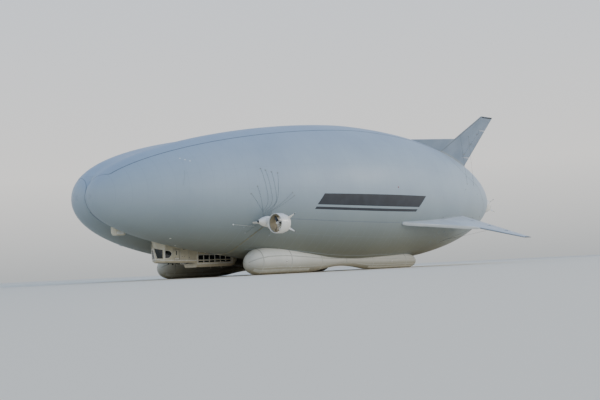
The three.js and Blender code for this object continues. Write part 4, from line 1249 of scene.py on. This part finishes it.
fairing = loft([pylon_ring(y, thick_share=1.02) for y in spaced(PYLON_ROOT_Y, COWL_Y, 12)])
place_pair("forward_pylon_fairing", fairing, "gelcoat_cowl", replaces=("forward_pylon",))
collar = [pylon_ring(y, 1.015, grow=grow) for y, grow in ((1398, 0.5), (1400, 4), (1412, 4), (1414, 0.5))]
place_pair("pylon_collar", loft(collar, capped=False), "enamelled_frame")
pivot = COWL_Y + PAD_FACE + 0.3 - DUCT_Y
place_propulsor("forward", FORWARD_CENTRE, LAYOUTS["tractor"], "forward_duct", pivot)

# Aft propulsors on the cones that close the lobes

AFT_Y, AFT_LEVEL, AFT_STATION = 138.0, -60.0, LENGTH_OVERALL + VANE_TAIL
CONE_END = AFT_STATION - LAYOUTS["pusher"]["hub"][1] - 0.3


def oval(station, y, level, across, up, angles, inboard):
    """Points round an oval, held a distance to port of the mid plane."""
    points = [world(station, y + across * math.cos(a), level + up * math.sin(a)) for a in angles]
    for point in points:
        point.y = max(point.y, inboard)
    return points


reach, rise, offset, drop = lobe_at(TAIL_CUT)
cone = [
    (TAIL_CUT + aft, offset, drop, reach * across, rise * up)
    for aft, across, up in ((0.3, 1, 1), (2, 1.004, 1.004), (10, 0.93, 0.92), (20, 0.84, 0.8))
]
cone += [
    (CONE_END - ahead, AFT_Y, AFT_LEVEL, radius, radius) for ahead, radius in ((12, 58), (4, 52), (0, 42))]
cone_skin = loft([oval(*row, round_angles(56), 0.2) for row in cone])
place_pair("aft_cowl_cone", cone_skin, "gelcoat_cowl", replaces=("aft_cowl",))
clamp = []
for grow, aft in ((0.2, -7), (1.6, -6), (1.8, 0), (0.4, 1)):
    reach, rise, offset, drop = lobe_at(min(TAIL_CUT + aft, TAIL_CUT))
    clamp.append(
        oval(TAIL_CUT + aft, offset, drop, reach + grow, rise + grow, spaced(0, 2 * math.pi, ROUND), 0.3))
place_pair("aft_cowl_clamp_ring", grid(clamp), "machined_stainless")
place_propulsor("aft", world(AFT_STATION, AFT_Y, AFT_LEVEL), LAYOUTS["pusher"], "root")

# Gondola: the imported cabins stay, and get frames, trims and fittings. A wall is a function of two
# coordinates in it and a distance proud of it


def flat_wall(y):
    """A wall along the hull at one distance to port; its coordinates are station and level."""
    return lambda station, level, out=0.0: world(station, y + out, level)


deck_side, module_side, fuel_side, cheek_side = (flat_wall(y) for y in (140.0, 150.0, 115.0, 48.0))


def module_rear(station, level, out):
    """The side where the module narrows behind its windows."""
    return world(station, 150 - 12 * (station - 2400) / 70 + out, level)


PROW_TOP, PROW_HEIGHT, PROW_INNER = -560, 338, 5
# The station and its growth per mm to port, along the facet's top and bottom edges
PROW_EDGES = ((1053, 0.9037), (1132, 0.3185))


def prow(y, level, out):
    """The windscreen's facet; its coordinates are the distance to port and the level."""
    def at(side, height):
        t = (PROW_TOP - height) / PROW_HEIGHT
        top, bottom = (start + growth * (side - PROW_INNER) for start, growth in PROW_EDGES)
        return world((1 - t) * top + t * bottom, side, height)
    point = at(y, level)
    normal = (at(y + 2, level) - point).cross(at(y, level + 2) - point).normalized()
    return point + (normal if normal.x > 0 else -normal) * out


def deck_foot(station):
    """Level of the deck's lower edge."""
    return -912 - 18 * (station - 1175) / 563


def deck_floor(station):
    """Level of the deck's underside."""
    return -940 - 18 * (station - 1190) / 548


def module_floor(station):
    return -1020


def grown(outline, gap):
    middle = [sum(p[k] for p in outline) / len(outline) for k in (0, 1)]
    out = []
    for p in outline:
        away = Vector((p[0] - middle[0], p[1] - middle[1]))
        away = away.normalized() * (away.length + gap * math.sqrt(2))
        out.append((middle[0] + away.x, middle[1] + away.y))
    return out


CORNER_STEPS = 3


def rounded(outline, cut):
    """The outline with each corner rounded, as more points."""
    out = []
    count = len(outline)
    for i, p in enumerate(outline):
        p, before, after = Vector(p), Vector(outline[i - 1]), Vector(outline[(i + 1) % count])
        a = p + (before - p).normalized() * min(cut, (before - p).length * 0.45)
        b = p + (after - p).normalized() * min(cut, (after - p).length * 0.45)
        for k in range(CORNER_STEPS + 1):
            t = k / CORNER_STEPS
            out.append(tuple(a.lerp(p, t).lerp(p.lerp(b, t), t)))
    return out


def wall_loops(outline, wall, corner, section):
    """Closed loops on a wall, from a section of (growth, distance proud of the wall)."""
    return [[wall(a, b, out) for a, b in rounded(grown(outline, gap), corner)] for gap, out in section]


def window_frame(outline, wall, width=4.0, proud=2.6, corner=6.0):
    """A moulded frame round an opening, standing proud of the wall."""
    section = (
        (-0.4, -1.0), (-0.4, proud * 0.6), (0.6, proud), (width - 1, proud), (width, proud * 0.5),
        (width, -0.6))
    return loft(wall_loops(outline, wall, corner, section), capped=False, looped=True)


def wall_plate(outline, wall, proud, corner):
    """A plate with eased edges on a wall."""
    loops = wall_loops(outline, wall, corner, ((0, -0.6), (0, proud * 0.7), (-0.7, proud)))
    return domed(loops, sum(loops[-1], Vector()) / len(loops[-1]))


def rect(a0, b0, a1, b1):
    return [(a0, b0), (a1, b0), (a1, b1), (a0, b1)]


SIDE_WINDOW = ((1187, -774), (1268, -784), (1298, -812), (1294, -836), (1253, -877), (1187, -880))
WINDSCREEN_PANE = ((11, -738), (124, -765), (120, -883), (27, -880))
deck_frames = merge(
    window_frame(SIDE_WINDOW, deck_side), window_frame(WINDSCREEN_PANE, prow, 3.4, 2.4, 5))
place_pair("deck_window_frames", deck_frames, "enamelled_frame")
corner_post = tube([world(1172, 141, -735), world(1174, 141, -800), world(1176, 141, -892)], 4.2, 14)
place_pair("deck_corner_posts", corner_post, "enamelled_frame")
prow_line = [prow(0, level, out) for level, out in ((-726, 2.6), (-800, 2.4), (-892, 2.2))]
place("deck_prow_post", tube([(p.x, 0, p.z) for p in prow_line], 6, 16), "enamelled_frame")

# Brow over the windows: a bright hood that stands a little proud of both facets
BROW_TOP = ((-648, -2), (-662, 5), (-700, 9))
PROW_BROW = (*BROW_TOP, (-722, 9.5), (-729, 8), (-730, 1), (-724, -2))
SIDE_BROW = (*BROW_TOP, (-740, 9.5), (-752, 8), (-756, 1), (-750, -2))
brow = [[prow(3 + 133 * k / 12, level, out) for level, out in PROW_BROW] for k in range(12)]
brow += [
    [deck_side(1178 + 132 * k / 12, level - 10 * k / 12, out) for level, out in SIDE_BROW]
    for k in range(13)
]
place_pair("deck_window_brow", grid(brow), "two_pack_cabin_paint")

# White sill line along the deck's lower edge, and the dark wear coating underneath
SIDE_SILL = ((12, -0.6), (11, 2.4), (3, 3), (-1, 1.4), (-4, -2.5))
PROW_SILL = ((12, -0.6), (11, 2.2), (3, 2.8), (-1, 1.2), (-3, -3))
side_sill = [[deck_side(s, deck_foot(s) + up, out) for up, out in SIDE_SILL] for s in spaced(1178, 1735, 32)]
prow_sill = [
    [prow(y, level + up, out) for up, out in PROW_SILL]
    for y, level in zip(spaced(4, 138, 16), spaced(-898, -912, 16))
]
place_pair("deck_sill_trim", merge(grid(side_sill), grid(prow_sill)), "enamelled_frame")


def belly_coating(stations, floor, section):
    """A sheet under a floor from side to side; the section is (distance to port, depth under it)."""
    rows = []
    for s in stations:
        half = [world(s, y, floor(s) - down) for y, down in section]
        rows.append(mirrored(reversed(half[1:])) + half)
    return grid(rows)


DECK_COAT = ((0, 1.6), (60, 1.6), (98, 1.6), (103, 1.2), (105, 0.1))
MODULE_COAT = ((0, 1.6), (70, 1.6), (108, 1.6), (113, 1.2), (115, 0.1))
for name, stations, floor, section in (
    ("deck", spaced(1196, 1734, 24), deck_floor, DECK_COAT),
    ("module", spaced(1742, 2396, 16), module_floor, MODULE_COAT),
):
    place(f"{name}_belly_coating", belly_coating(stations, floor, section), "wear_coating")

# Door furniture: handle, kick plate and the frame of its pane ride with the door
door_bits = merge(
    window_frame(rect(1375, -846, 1391, -780), deck_side, 2.4, 1.8, 3),
    wall_plate(rect(1348, -898, 1421, -882), deck_side, 1.2, 2))
place("cabin_door_pane_frame", door_bits, "enamelled_frame", "cabin_door")
HANDLE = ((-838, -0.5), (-838, 4), (-835, 6), (-826, 6.4), (-817, 6), (-814, 4), (-814, -0.5))
handle = tube([deck_side(1416, level, out) for level, out in HANDLE], 1.5, 10)
place("cabin_door_handle", handle, "machined_stainless", "cabin_door")
straps = [wall_plate(rect(1345, level - 3, 1372, level + 3), deck_side, 1.8, 2) for level in (-785, -880)]
place("cabin_door_hinge_straps", merge(*straps), "machined_stainless", "cabin_door")
seal = window_frame(rect(1337, -907, 1432, -760), deck_side, 2.6, 1.1, 4)
place("cabin_door_seal", seal, "moulded_rubber")
GRAB_RAIL = ((-868, -0.5), (-868, 6), (-862, 8), (-812, 8), (-806, 6), (-806, -0.5))
rails = [tube([deck_side(s, level, out) for level, out in GRAB_RAIL], 1.6, 10) for s in (1332, 1440)]
place("deck_grab_rails", merge(*rails), "enamelled_frame")
starboard_hatch = merge(
    window_frame(rect(1345, -895, 1424, -770), deck_side, 2.2, 1.2, 5),
    wall_plate(rect(1405, -838, 1416, -828), deck_side, 2, 2))
place("deck_emergency_hatch_frame", starboard_hatch, "enamelled_frame", side=-1)

# Slot, vents and panel joints of the deck's side
deck_vents = [wall_plate(rect(1500, -768, 1556, -760), deck_side, 1.2, 2)]
deck_vents += [wall_plate(rect(s, -868, s + 8, -860), deck_side, 1.6, 3) for s in (1480, 1522)]
deck_vents.append(wall_plate(rect(1602, -884, 1612, -874), deck_side, 1.6, 3))
place_pair("deck_side_vents", merge(*deck_vents), "wear_coating")
joint_lines = [[(s, level) for level in (-650, -780, -905)] for s in (1312, 1458, 1600)]
joint_lines.append([(s, -905) for s in (1180, 1400, 1730)])
deck_joints = [tube([deck_side(s, level, 0.2) for s, level in line], 1.0, 6) for line in joint_lines]
place_pair("deck_panel_joints", merge(*deck_joints), "doubler_patch")
spots = [deck_side(s, -897) for s in range(1190, 1730, 18) if not 1330 < s < 1440]
spots += [deck_side(s, -735) for s in range(1470, 1730, 18)]
spots += [module_side(s, level) for s in range(1752, 2396, 20) for level in (-842, -962)]
dome = turned(revolve([(0, 1.5), (0.8, 1.4), (1.1, 0)], 8), Matrix.Rotation(math.pi / 2, 3, "Z"))
place_pair("cabin_dome_screws", merge(*[moved(dome, spot) for spot in spots]), "machined_stainless")

# Mission module: window lattice, corner posts, sill and hatches
lattice = [
    window_frame(rect(s, low, s + 90, high), module_side, 3.0, 2.2, 4)
    for s in range(1762, 2278, 103) for low, high in ((-918, -854), (-954, -931))
]
place_pair("module_window_frames", merge(*lattice), "enamelled_frame")
posts = [tube([module_side(s, level, 0.6) for level in (-790, -880, -973)], 4, 14) for s in (1745, 2397)]
posts += [
    tube([module_side(s, level, 0.4) for s in (1745, 2070, 2397)], 2.6, 10) for level in (-846, -966)]
place_pair("module_corner_posts", merge(*posts), "enamelled_frame")
MODULE_SILL = ((-968, -0.5), (-969, 2.2), (-974, 2.6), (-978, 0.4), (-982, -5))
module_sill = [[module_side(s, level, out) for level, out in MODULE_SILL] for s in spaced(1742, 2398, 24)]
place_pair("module_sill_trim", grid(module_sill), "enamelled_frame")
hatches = merge(
    wall_plate(rect(2412, -952, 2462, -860), module_rear, 1.6, 5),
    wall_plate(rect(1990, -832, 2090, -800), module_side, 1.2, 4))
place_pair("module_service_hatches", hatches, "two_pack_cabin_paint")

# Small gear under the deck: search lamp, sensor ball, light box, aerials, probe and hose
LAMP_SPOT = world(1300, 46, -955)
lamp_shell = revolve([(-16, 4), (-14, 10), (-6, 14), (6, 14.6), (12, 14), (13, 12.4), (8, 12), (-4, 11)], 28)
lamp_lens = revolve([(8, 12.2), (11, 11.5), (13, 7), (13.8, 0)], 28)
place("belly_search_lamp_shell", moved(lamp_shell, LAMP_SPOT), "wear_coating")
place("belly_search_lamp_lens", moved(lamp_lens, LAMP_SPOT), "frosted_acrylic")
lamp_yoke = tube([world(1300, 46, -938), world(1300, 46, -946)], 5, 16)
place("belly_search_lamp_yoke", lamp_yoke, "machined_stainless")
ball = revolve([(-13, 0), (-12, 5), (-8, 10.4), (0, 13), (8, 10.4), (12, 5), (13, 0)], 28)
upright_ball = turned(ball, Matrix.Rotation(math.pi / 2, 3, "Y"))
place("belly_sensor_ball", moved(upright_ball, world(1452, -40, -964)), "moulded_rubber")
ball_mount = tube([world(1452, -40, -944), world(1452, -40, -956)], 8, 20, (1.2, 0.8))
place("belly_sensor_mount", ball_mount, "two_pack_cabin_paint")
place("belly_light_box", block(world(1640, -22, -974), world(1600, 22, -950), 3), "enamelled_frame")
AERIAL = ((12, 0), (-14, 0), (-20, -26), (-8, -26))
aerials = []
for station, y, floor in (
    (1500, 70, deck_floor), (1680, -60, deck_floor), (2100, 0, module_floor), (2250, 60, module_floor),
):
    foot = world(station, y, floor(station) + 1)
    aerials.append(slab([foot + Vector((x, -1.2, z)) for x, z in AERIAL], Vector((0, 2.4, 0)), 0.9))
place("belly_blade_aerials", merge(*aerials), "enamelled_frame")
probe = tube([prow(60, -905, -2), prow(60, -909, 12), prow(60, -909, 30)], 1.5, 10, (1.6, 1, 0.8))
place_pair("deck_pitot_probe", probe, "machined_stainless")
HOSE = ((1500, 30, -950), (1540, 34, -964), (1590, 26, -970), (1640, 30, -966), (1690, 34, -958))
hose = tube(smoothed([world(*p) for p in HOSE], 6), 2.6, 10)
place_pair("belly_service_hose", hose, "moulded_rubber")

# Inside the deck: console and two seats; inside the module: six rows of seats


def seat(station, y, floor):
    def corner(aft, side, up):
        return world(station + aft, y + side, floor + up)
    back = [corner(20, -21, 34), corner(20, 21, 34), corner(34, 17, 96), corner(34, -17, 96)]
    return merge(
        block(corner(26, -22, 20), corner(-24, 22, 36), 5),
        block(corner(12, -10, 0), corner(-12, 10, 21), 2),
        slab(back, Vector((10, 0, 2)), 3.5),
        block(corner(40, -11, 98), corner(28, 11, 116), 3.5))


place("deck_seats", merge(seat(1228, 50, -932), seat(1228, -50, -932)), "woven_upholstery")
console = [world(1186, -92, -934), world(1186, 92, -934), world(1174, 84, -884), world(1174, -84, -884)]
bits = [slab(console, Vector((-22, 0, 0)), 3)]
for y in (-62, -21, 21, 62):
    screen = [
        world(1186, y - 18, -884), world(1186, y + 18, -884), world(1180, y + 17, -858),
        world(1180, y - 17, -858)]
    bits.append(slab(screen, Vector((-3, 0, 1)), 1))
place("deck_console", merge(*bits), "textured_abs")
seats = [seat(1800 + 100 * k, y, -1010) for k in range(6) for y in (60, -60)]
place("module_seats", merge(*seats), "woven_upholstery")

# Fuel module and nose fairing: bands, filler caps, hatch outlines and the mooring eye

fuel_bits = [
    window_frame(rect(s, -1050, s + 120, -950), fuel_side, 2.4, 1.4, 6) for s in (4500, 4700, 4900)]
fuel_bits += [wall_plate(rect(s, -1006, s + 8, -990), fuel_side, 2, 2) for s in (4556, 4756)]
fuel_bits.append(wall_plate(rect(5080, -1030, 5140, -980), fuel_side, 1.4, 5))
place_pair("fuel_hatch_frames", merge(*fuel_bits), "enamelled_frame")
# Up one wall, under the floor and up the other, as (distance to port, level)
FUEL_BAND = (
    (-116.6, -840.2), (-116.6, -1071.2), (-91, -1092.2), (91, -1092.2), (116.6, -1071.2), (116.6, -840.2))
bands = [
    grid([[world(s + aft, y, level) for y, level in FUEL_BAND] for aft in (5, -5)])
    for s in (4480, 4660, 4860, 5060, 5190)
]
place("fuel_module_bands", merge(*bands), "wear_coating")
ring = [world(530 + 13 * math.cos(a), 0, -568 + 13 * math.sin(a)) for a in spaced(0, 2 * math.pi, 16)]
mooring_eye = merge(tube(ring, 3, 10), block(world(544, -7, -561), world(516, 7, -555), 1.5))
place("mooring_eye", mooring_eye, "machined_stainless")
place_pair(
    "mooring_fairing_cheeks", wall_plate(rect(472, -538, 583, -505), cheek_side, 1.4, 5), "enamelled_frame")
place("mooring_fairing_tail_pad", block(world(622, -24, -550), world(592, 24, -541), 3), "wear_coating")

# What lies on the hull's skin, as (station, degrees) pairs

# Plain cheat lines of charcoal film: a broad band with a raked front and rear, and a narrow one
# under it
BROAD = ((2860, -4.5), (5180, -4.0), (4990, -13.5), (2745, -13.5))
NARROW = ((2735, -15.3), (4955, -15.3), (4915, -17.4), (2712, -17.4))
place_pair("cheat_line_broad", skin_patch(BROAD, 0.6, 72, 10), "marking_film")
place_pair("cheat_line_narrow", skin_patch(NARROW, 0.6, 72, 4), "marking_film")


def skin_tape(route, half_width, lift=1.0, steps=60):
    """A tape along a route on the lobe."""
    pairs = fine_route(route, steps)
    lines = []
    for i, (s, d) in enumerate(pairs):
        way = on_skin(*pairs[min(i + 1, len(pairs) - 1)]) - on_skin(*pairs[max(i - 1, 0)])
        _, normal, aft, up = skin_frame(s, d)
        across = normal.cross(way).normalized() * half_width
        rise = lobe_at(s)[1]
        lines.append([
            on_skin(s + share * across.dot(aft), d + math.degrees(share * across.dot(up) / rise), proud)
            for share, proud in ((-1, 0.1), (-0.8, lift), (0, lift), (0.8, lift), (1, 0.1))
        ])
    return grid(lines)


def skin_rope(route, radius, steps):
    return tube([on_skin(s, d, radius + 0.6) for s, d in fine_route(route, steps)], radius, 6)


def stood_on_skin(shape, station, degrees, lift=0.0):
    """A fitting turned about X, stood on the lobe."""
    point, normal, _, _ = skin_frame(station, degrees)
    return moved(turned(shape, facing(normal)), point + normal * lift)


def skin_rectangle(station, degrees, half_length, up, down, lift, columns, rows):
    """A patch round a spot, up degrees above it and down degrees below it."""
    fore, aft, top, bottom = station - half_length, station + half_length, degrees + up, degrees - down
    return skin_patch([(fore, top), (aft, top), (aft, bottom), (fore, bottom)], lift, columns, rows)


SIDE_SEAM = ((2350, -26.5), (3400, -26.5), (4550, -26.5))
TAIL_SEAMS = (
    ((6840, 32.4), (7098, 23.9), (7573, 16.6), (7730, 6.0)), ((6560, 56), (6700, 40), (6840, 32.4)),
    ((7730, 6), (7900, -8), (7960, -30)),
)
SKID_LINES = (
    ((1950, -66), (2600, -60), (3500, -62), (4700, -62), (5550, -66)),
    ((1950, -86), (2600, -96), (3500, -90), (4700, -92), (5550, -88)),
)
place_pair("side_seam_tape", skin_tape(SIDE_SEAM, 5), "cemented_seam_tape")
place_pair(
    "tail_seam_tapes", merge(*[skin_tape(route, 4, 0.8) for route in TAIL_SEAMS]), "cemented_seam_tape")
place_pair("skid_attachment_tapes", merge(*[skin_tape(route, 7) for route in SKID_LINES]), "doubler_patch")

# Stays of the forward propulsor: ropes that fan out over the skin from patches, leave it beside
# the pylon and end in eyes on the cowl's inboard side

# Route over the skin as (station, degrees) pairs, then the eye as (x behind the cowl's nose, degrees)
STAYS = (
    (((1874, 18.1), (1908, 3.0), (1943, -12.2), (1896, -20.0)), (170, 122)),
    (((1940, 16.3), (1972, 2.1), (2003, -12.1), (1930, -20.0)), (205, 122)),
    (((2023, 14.5), (2044, 1.3), (2064, -12.0), (1962, -20.0)), (240, 122)),
    (((2111, 13.3), (2096, 1.3), (2074, -12.0), (1992, -20.0)), (275, 122)),
    (((1696, -4.9), (1789, -12.6), (1882, -20.4)), (150, 134)),
    (((1789, 1.6), (1840, -9.6), (1888, -20.2)), (160, 128)),
    (((2315, -4.0), (2168, -12.2), (2012, -20.2)), (290, 128)),
    (((2346, -6.6), (2182, -13.8), (2018, -20.4)), (300, 134)),
    (((1700, -38.0), (1790, -34.2), (1876, -30.6)), (160, 232)),
    (((1760, -44.0), (1826, -37.4), (1890, -31.0)), (190, 236)),
    (((2200, -38.0), (2110, -34.2), (2020, -30.6)), (290, 232)),
    (((2130, -44.0), (2076, -37.4), (2006, -31.0)), (270, 236)),
)
ropes, patches, clamps = [], [], []
for route, eye in STAYS:
    ropes.append(skin_rope(route, 1.1, 30))
    leaves, ends = on_skin(*route[-1], 1.7), on_cowl(*eye, 3)
    ropes.append(tube([leaves, leaves.lerp(ends, 0.5), ends], 1.1, 6))
    patches.append(round_patch(*route[0], 13, 1.2))
    clamps.append(moved(tube([Vector((0, 0, 0)), Vector((0, 0, 9))], 2.6, 10), on_skin(*route[0], 1)))
    clamps.append(tube([on_cowl(*eye, -1), on_cowl(*eye, 3), on_cowl(*eye, 5)], 2.6, 10))
place_pair("propulsor_stay_ropes", merge(*ropes), "galvanised_rope")
place_pair("propulsor_stay_patches", merge(*patches), "doubler_patch")
place_pair("propulsor_stay_clamps", merge(*clamps), "machined_stainless")

# Conduits that run from the propulsor down the skin to the module
CONDUIT = ((1984, -34.2), (1915, -40.6), (1853, -48.9), (1806, -61.3), (1811, -78.8), (1795, -92))
LIGHT_LEAD = ((1806, -84), (1790, -90), (1775, -94))
conduits = [skin_rope([(s + shift, d) for s, d in CONDUIT], 2.3, 60) for shift in (0, 9)]
place_pair("fuel_and_power_conduits", merge(*conduits), "braided_sleeve")
ties = [skin_tape([(s - 10, d), (s + 22, d)], 3.5, 6.2, 8) for s, d in CONDUIT[:-1]]
place_pair("conduit_ties", merge(*ties), "cemented_seam_tape")
place_pair("module_light_lead", skin_rope(LIGHT_LEAD, 1.6, 16), "enamelled_frame")

# Fabric patch over the pinch where the lobes' noses meet, drawn tight from pole to pole, and the
# seam tape that runs down the pinch; the tape's dark colour, carried far down the groove, is also
# painted shade for the groove

POLE_LEVEL = lobe_at(0.01)[3]
PATCH_HALF, PATCH_REACH, PATCH_TIP = 150, 36, 9


def nose_depth(y, level):
    """The station at which a line aft at this side and level meets the skin."""
    low, high = 0.0, 400.0
    for _ in range(32):
        middle = (low + high) / 2
        reach, rise, offset, drop = lobe_at(middle)
        inside = ((abs(y) - offset) / reach) ** 2 + ((level - drop) / rise) ** 2 < 1
        low, high = (low, middle) if inside else (middle, high)
    return high


def bridged_depth(y, level):
    """The same, with the slit between the lobes' poles bridged."""
    return min(nose_depth(y, level), nose_depth(max(abs(y), 16), level) + 2)


patch = []
for y in range(-PATCH_HALF, PATCH_HALF + 1, 5):
    reach_up = PATCH_TIP + (PATCH_REACH - PATCH_TIP) * (1 - (y / PATCH_HALF) ** 2) ** 2
    row = []
    for j in range(-6, 7):
        level = POLE_LEVEL + reach_up * j / 6
        lift = 0.1 if abs(y) == PATCH_HALF or abs(j) == 6 else 1.0
        row.append(world(bridged_depth(y, level) - lift, y, level))
    patch.append(row)
# Every point lies in the middle of a panel, so that no panel seam is drawn on the patch
mid_panel = [(0.19, 0.076)] * sum(map(len, patch))
place("nose_pinch_patch", grid(patch, mid_panel), "laminated_envelope_fabric")
# Dark seam tape down the pinch, which also paints the groove's shade
groove_shade_tape = []
for up in range(-190, 110, 5):
    level = POLE_LEVEL + up
    if abs(up) < PATCH_REACH:
        depths = [bridged_depth(y, level) - 1.0 for y in (-4, 0, 4)]
    else:
        depths = [nose_depth(y, level) for y in (-4, 0, 4)]
    groove_shade_tape.append([world(depth - 0.6, y, level) for depth, y in zip(depths, (-4, 0, 4))])
place("nose_groove_shade_tape", grid(groove_shade_tape), "cemented_seam_tape")

# Small patches, sight dots and lamps on the skin

# Each row: station, degrees, radius
SIGHT_DOTS = (
    (909, 42.4, 9), (955, 39.0, 9), (1002, 35.9, 9), (1552, -94.4, 11), (1607, -91.5, 11),
    (1662, -88.4, 11), (1108, -86.9, 12), (910, -70.0, 12),
)
RIGGING = (
    (5844, -22.8), (6117, -23.5), (6325, -23.9), (6648, -24.8), (6964, -26.0), (7258, -27.0),
    (7770, -29.3),
)
VENTS = (
    (5901, -38.1), (6091, -38.4), (6431, -39.6), (6842, -41.2), (5829, -42.9), (6256, -43.9),
    (6610, -46.4), (5813, -49.9), (6074, -48.7),
)
INSPECTION = ((6762, 6.6), (7445, 4.2), (1535, -24))
dots = [round_patch(*dot, 1.2) for dot in SIGHT_DOTS]
place_pair("sight_dots", merge(*dots), "enamelled_frame")
pressure_line = skin_rope([(890, 24.1), (862, 14), (832, 4.8)], 1.2, 16)
place_pair("nose_pressure_lines", pressure_line, "doubler_patch")
place_pair(
    "tail_rigging_patches", merge(*[round_patch(*spot, 16, 1.6) for spot in RIGGING]), "doubler_patch")
rigging_eye = revolve([(0, 5), (2, 5.4), (3.4, 4), (3.4, 0)], 16)
rigging_eyes = [stood_on_skin(rigging_eye, *spot, 1.4) for spot in RIGGING]
place_pair("tail_rigging_eyes", merge(*rigging_eyes), "moulded_rubber")
slats = [
    skin_rectangle(*vent, 22, 0.5 - 0.6 * k, 0.6 * k - 0.15, 2.4, 4, 2) for vent in VENTS for k in range(3)]
place_pair("ballonet_vent_slats", merge(*slats), "wear_coating")
vent_frames = [skin_rectangle(*vent, 28, 0.9, 1.5, 1.2, 4, 3) for vent in VENTS]
place_pair("ballonet_vent_frames", merge(*vent_frames), "doubler_patch")
covers = [skin_rectangle(*spot, 16, 0.7, 0.7, 1.2, 3, 3) for spot in INSPECTION]
place_pair("inspection_patches", merge(*covers), "doubler_patch")


def skin_lamp(station, degrees, radius, height):
    base = revolve([(0, radius * 1.35), (1.5, radius * 1.3), (2.4, radius * 1.05)], 28)
    lens = revolve(
        [(2, radius), (height * 0.6, radius * 0.92), (height * 0.9, radius * 0.6), (height, 0)], 28)
    return stood_on_skin(base, station, degrees), stood_on_skin(lens, station, degrees)


base, lens = skin_lamp(1535, -35.9, 10, 12)
place_pair("hull_lamp_base", base, "machined_stainless")
place_pair("hull_lamp_lens", lens, "frosted_acrylic")
lamp_lead = skin_rope([(1550, -35.9), (1700, -36.1), (1842, -35.9)], 1.3, 20)
place_pair("hull_lamp_lead", lamp_lead, "enamelled_frame")
base, lens = skin_lamp(4400, 2, 9, 11)
place_pair("side_lamp_base", base, "machined_stainless")
for (label, side), colour in zip(SIDES, ("red_acrylic", "green_acrylic")):
    place(f"side_lamp_lens_{label}", lens, colour, side=side)
handling = [round_patch(station, -100, 22, 1.6) for station in (2900, 3600, 4100)]
place_pair("belly_handling_patches", merge(*handling), "doubler_patch")

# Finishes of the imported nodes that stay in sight

NODE_FINISHES = {
    "two_pack_cabin_paint": (
        "flight_deck", "cabin_door", "mission_module", "fuel_module", "nose_mooring_fairing"),
    "tinted_polycarbonate": (
        "cabin_door_glass", "windscreen", "deck_side_glass_port", "deck_side_glass_starboard",
        "module_glass_port", "module_glass_starboard"),
    "sand_cast_aluminium": ("forward_engine_port", "forward_engine_starboard"),
}
for finish, nodes in NODE_FINISHES.items():
    for node in nodes:
        cad = frame["nodes"][node]
        cad.data.materials.clear()
        cad.data.materials.append(MATERIALS[finish])

# Studio: a wide pale floor under a soft sky that meets it without a line

FLOOR_RADII = (1, 2000, 5000, 10000, 20000, 40000, 90000)
floor_rings = [
    [Vector((r * math.cos(a), r * math.sin(a), 0)) for a in round_angles(96)] for r in FLOOR_RADII]
studio = mesh_object("studio_floor", loft(floor_rings, capped=False), "rolled_floor_paint", 60)

sky = bpy.data.worlds.new("soft_daylight")
bpy.context.scene.world = sky
sky.use_nodes = True
# Floor-coloured at the horizon, palest just above it, cool from straight above
direction = add(sky.node_tree, "ShaderNodeTexCoord").outputs["Generated"]
height = add(sky.node_tree, "ShaderNodeSeparateXYZ", {0: direction}).outputs["Z"]
daylight = add(sky.node_tree, "ShaderNodeValToRGB", {0: height})
stops = daylight.color_ramp.elements
stops[0].color, stops[1].color = linear("#b9bcbd"), linear("#78a1df")
for position, colour in ((0.10, "#efedea"), (0.35, "#dce4ef"), (0.6, "#a4c0ea")):
    stops.new(position).color = linear(colour)
background = sky.node_tree.nodes["Background"]
sky.node_tree.links.new(daylight.outputs["Color"], background.inputs["Color"])
background.inputs["Strength"].default_value = 1.2


def area_light(name, location, target, watts, colour):
    data = bpy.data.lights.new(name, "AREA")
    data.shape = "RECTANGLE"
    data.size, data.size_y = 12, 6
    data.energy = watts
    data.color = linear(colour)[:3]
    light = bpy.data.objects.new(name, data)
    light.location = location
    light.rotation_euler = (Vector(target) - Vector(location)).to_track_quat("-Z", "Y").to_euler()
    bpy.context.scene.collection.objects.link(light)


area_light("tail_key", (-16.0, 19.0, 10.0), (-1.5, 0.5, 1.1), 2100, "#fff3e2")
area_light("port_fill", (8.0, 20.0, 5.0), (1.0, 0.5, 1.1), 500, "#fff8ee")

# Camera at floor level, at the photograph's angle and field of view
YAW, PITCH, ROLL = (math.radians(a) for a in (-135.99, 4.05, -2.73))
CAMERA_SPOT = Vector((11.632, 10.683, 0.06))
ahead = Vector((math.cos(PITCH) * math.cos(YAW), math.cos(PITCH) * math.sin(YAW), math.sin(PITCH)))
right = ahead.cross(Vector((0, 0, 1))).normalized()
up = right.cross(ahead)
rolled_right = right * math.cos(ROLL) + up * math.sin(ROLL)
rolled_up = up * math.cos(ROLL) - right * math.sin(ROLL)
camera_data = bpy.data.cameras.new("floor_level_camera")
camera_data.lens, camera_data.sensor_width, camera_data.clip_end = 58.17, 36.0, 200.0
camera = bpy.data.objects.new("floor_level_camera", camera_data)
camera_matrix = Matrix((rolled_right, rolled_up, -ahead)).transposed().to_4x4()
camera_matrix.translation = CAMERA_SPOT
camera.matrix_world = camera_matrix
bpy.context.scene.collection.objects.link(camera)
bpy.context.scene.camera = camera
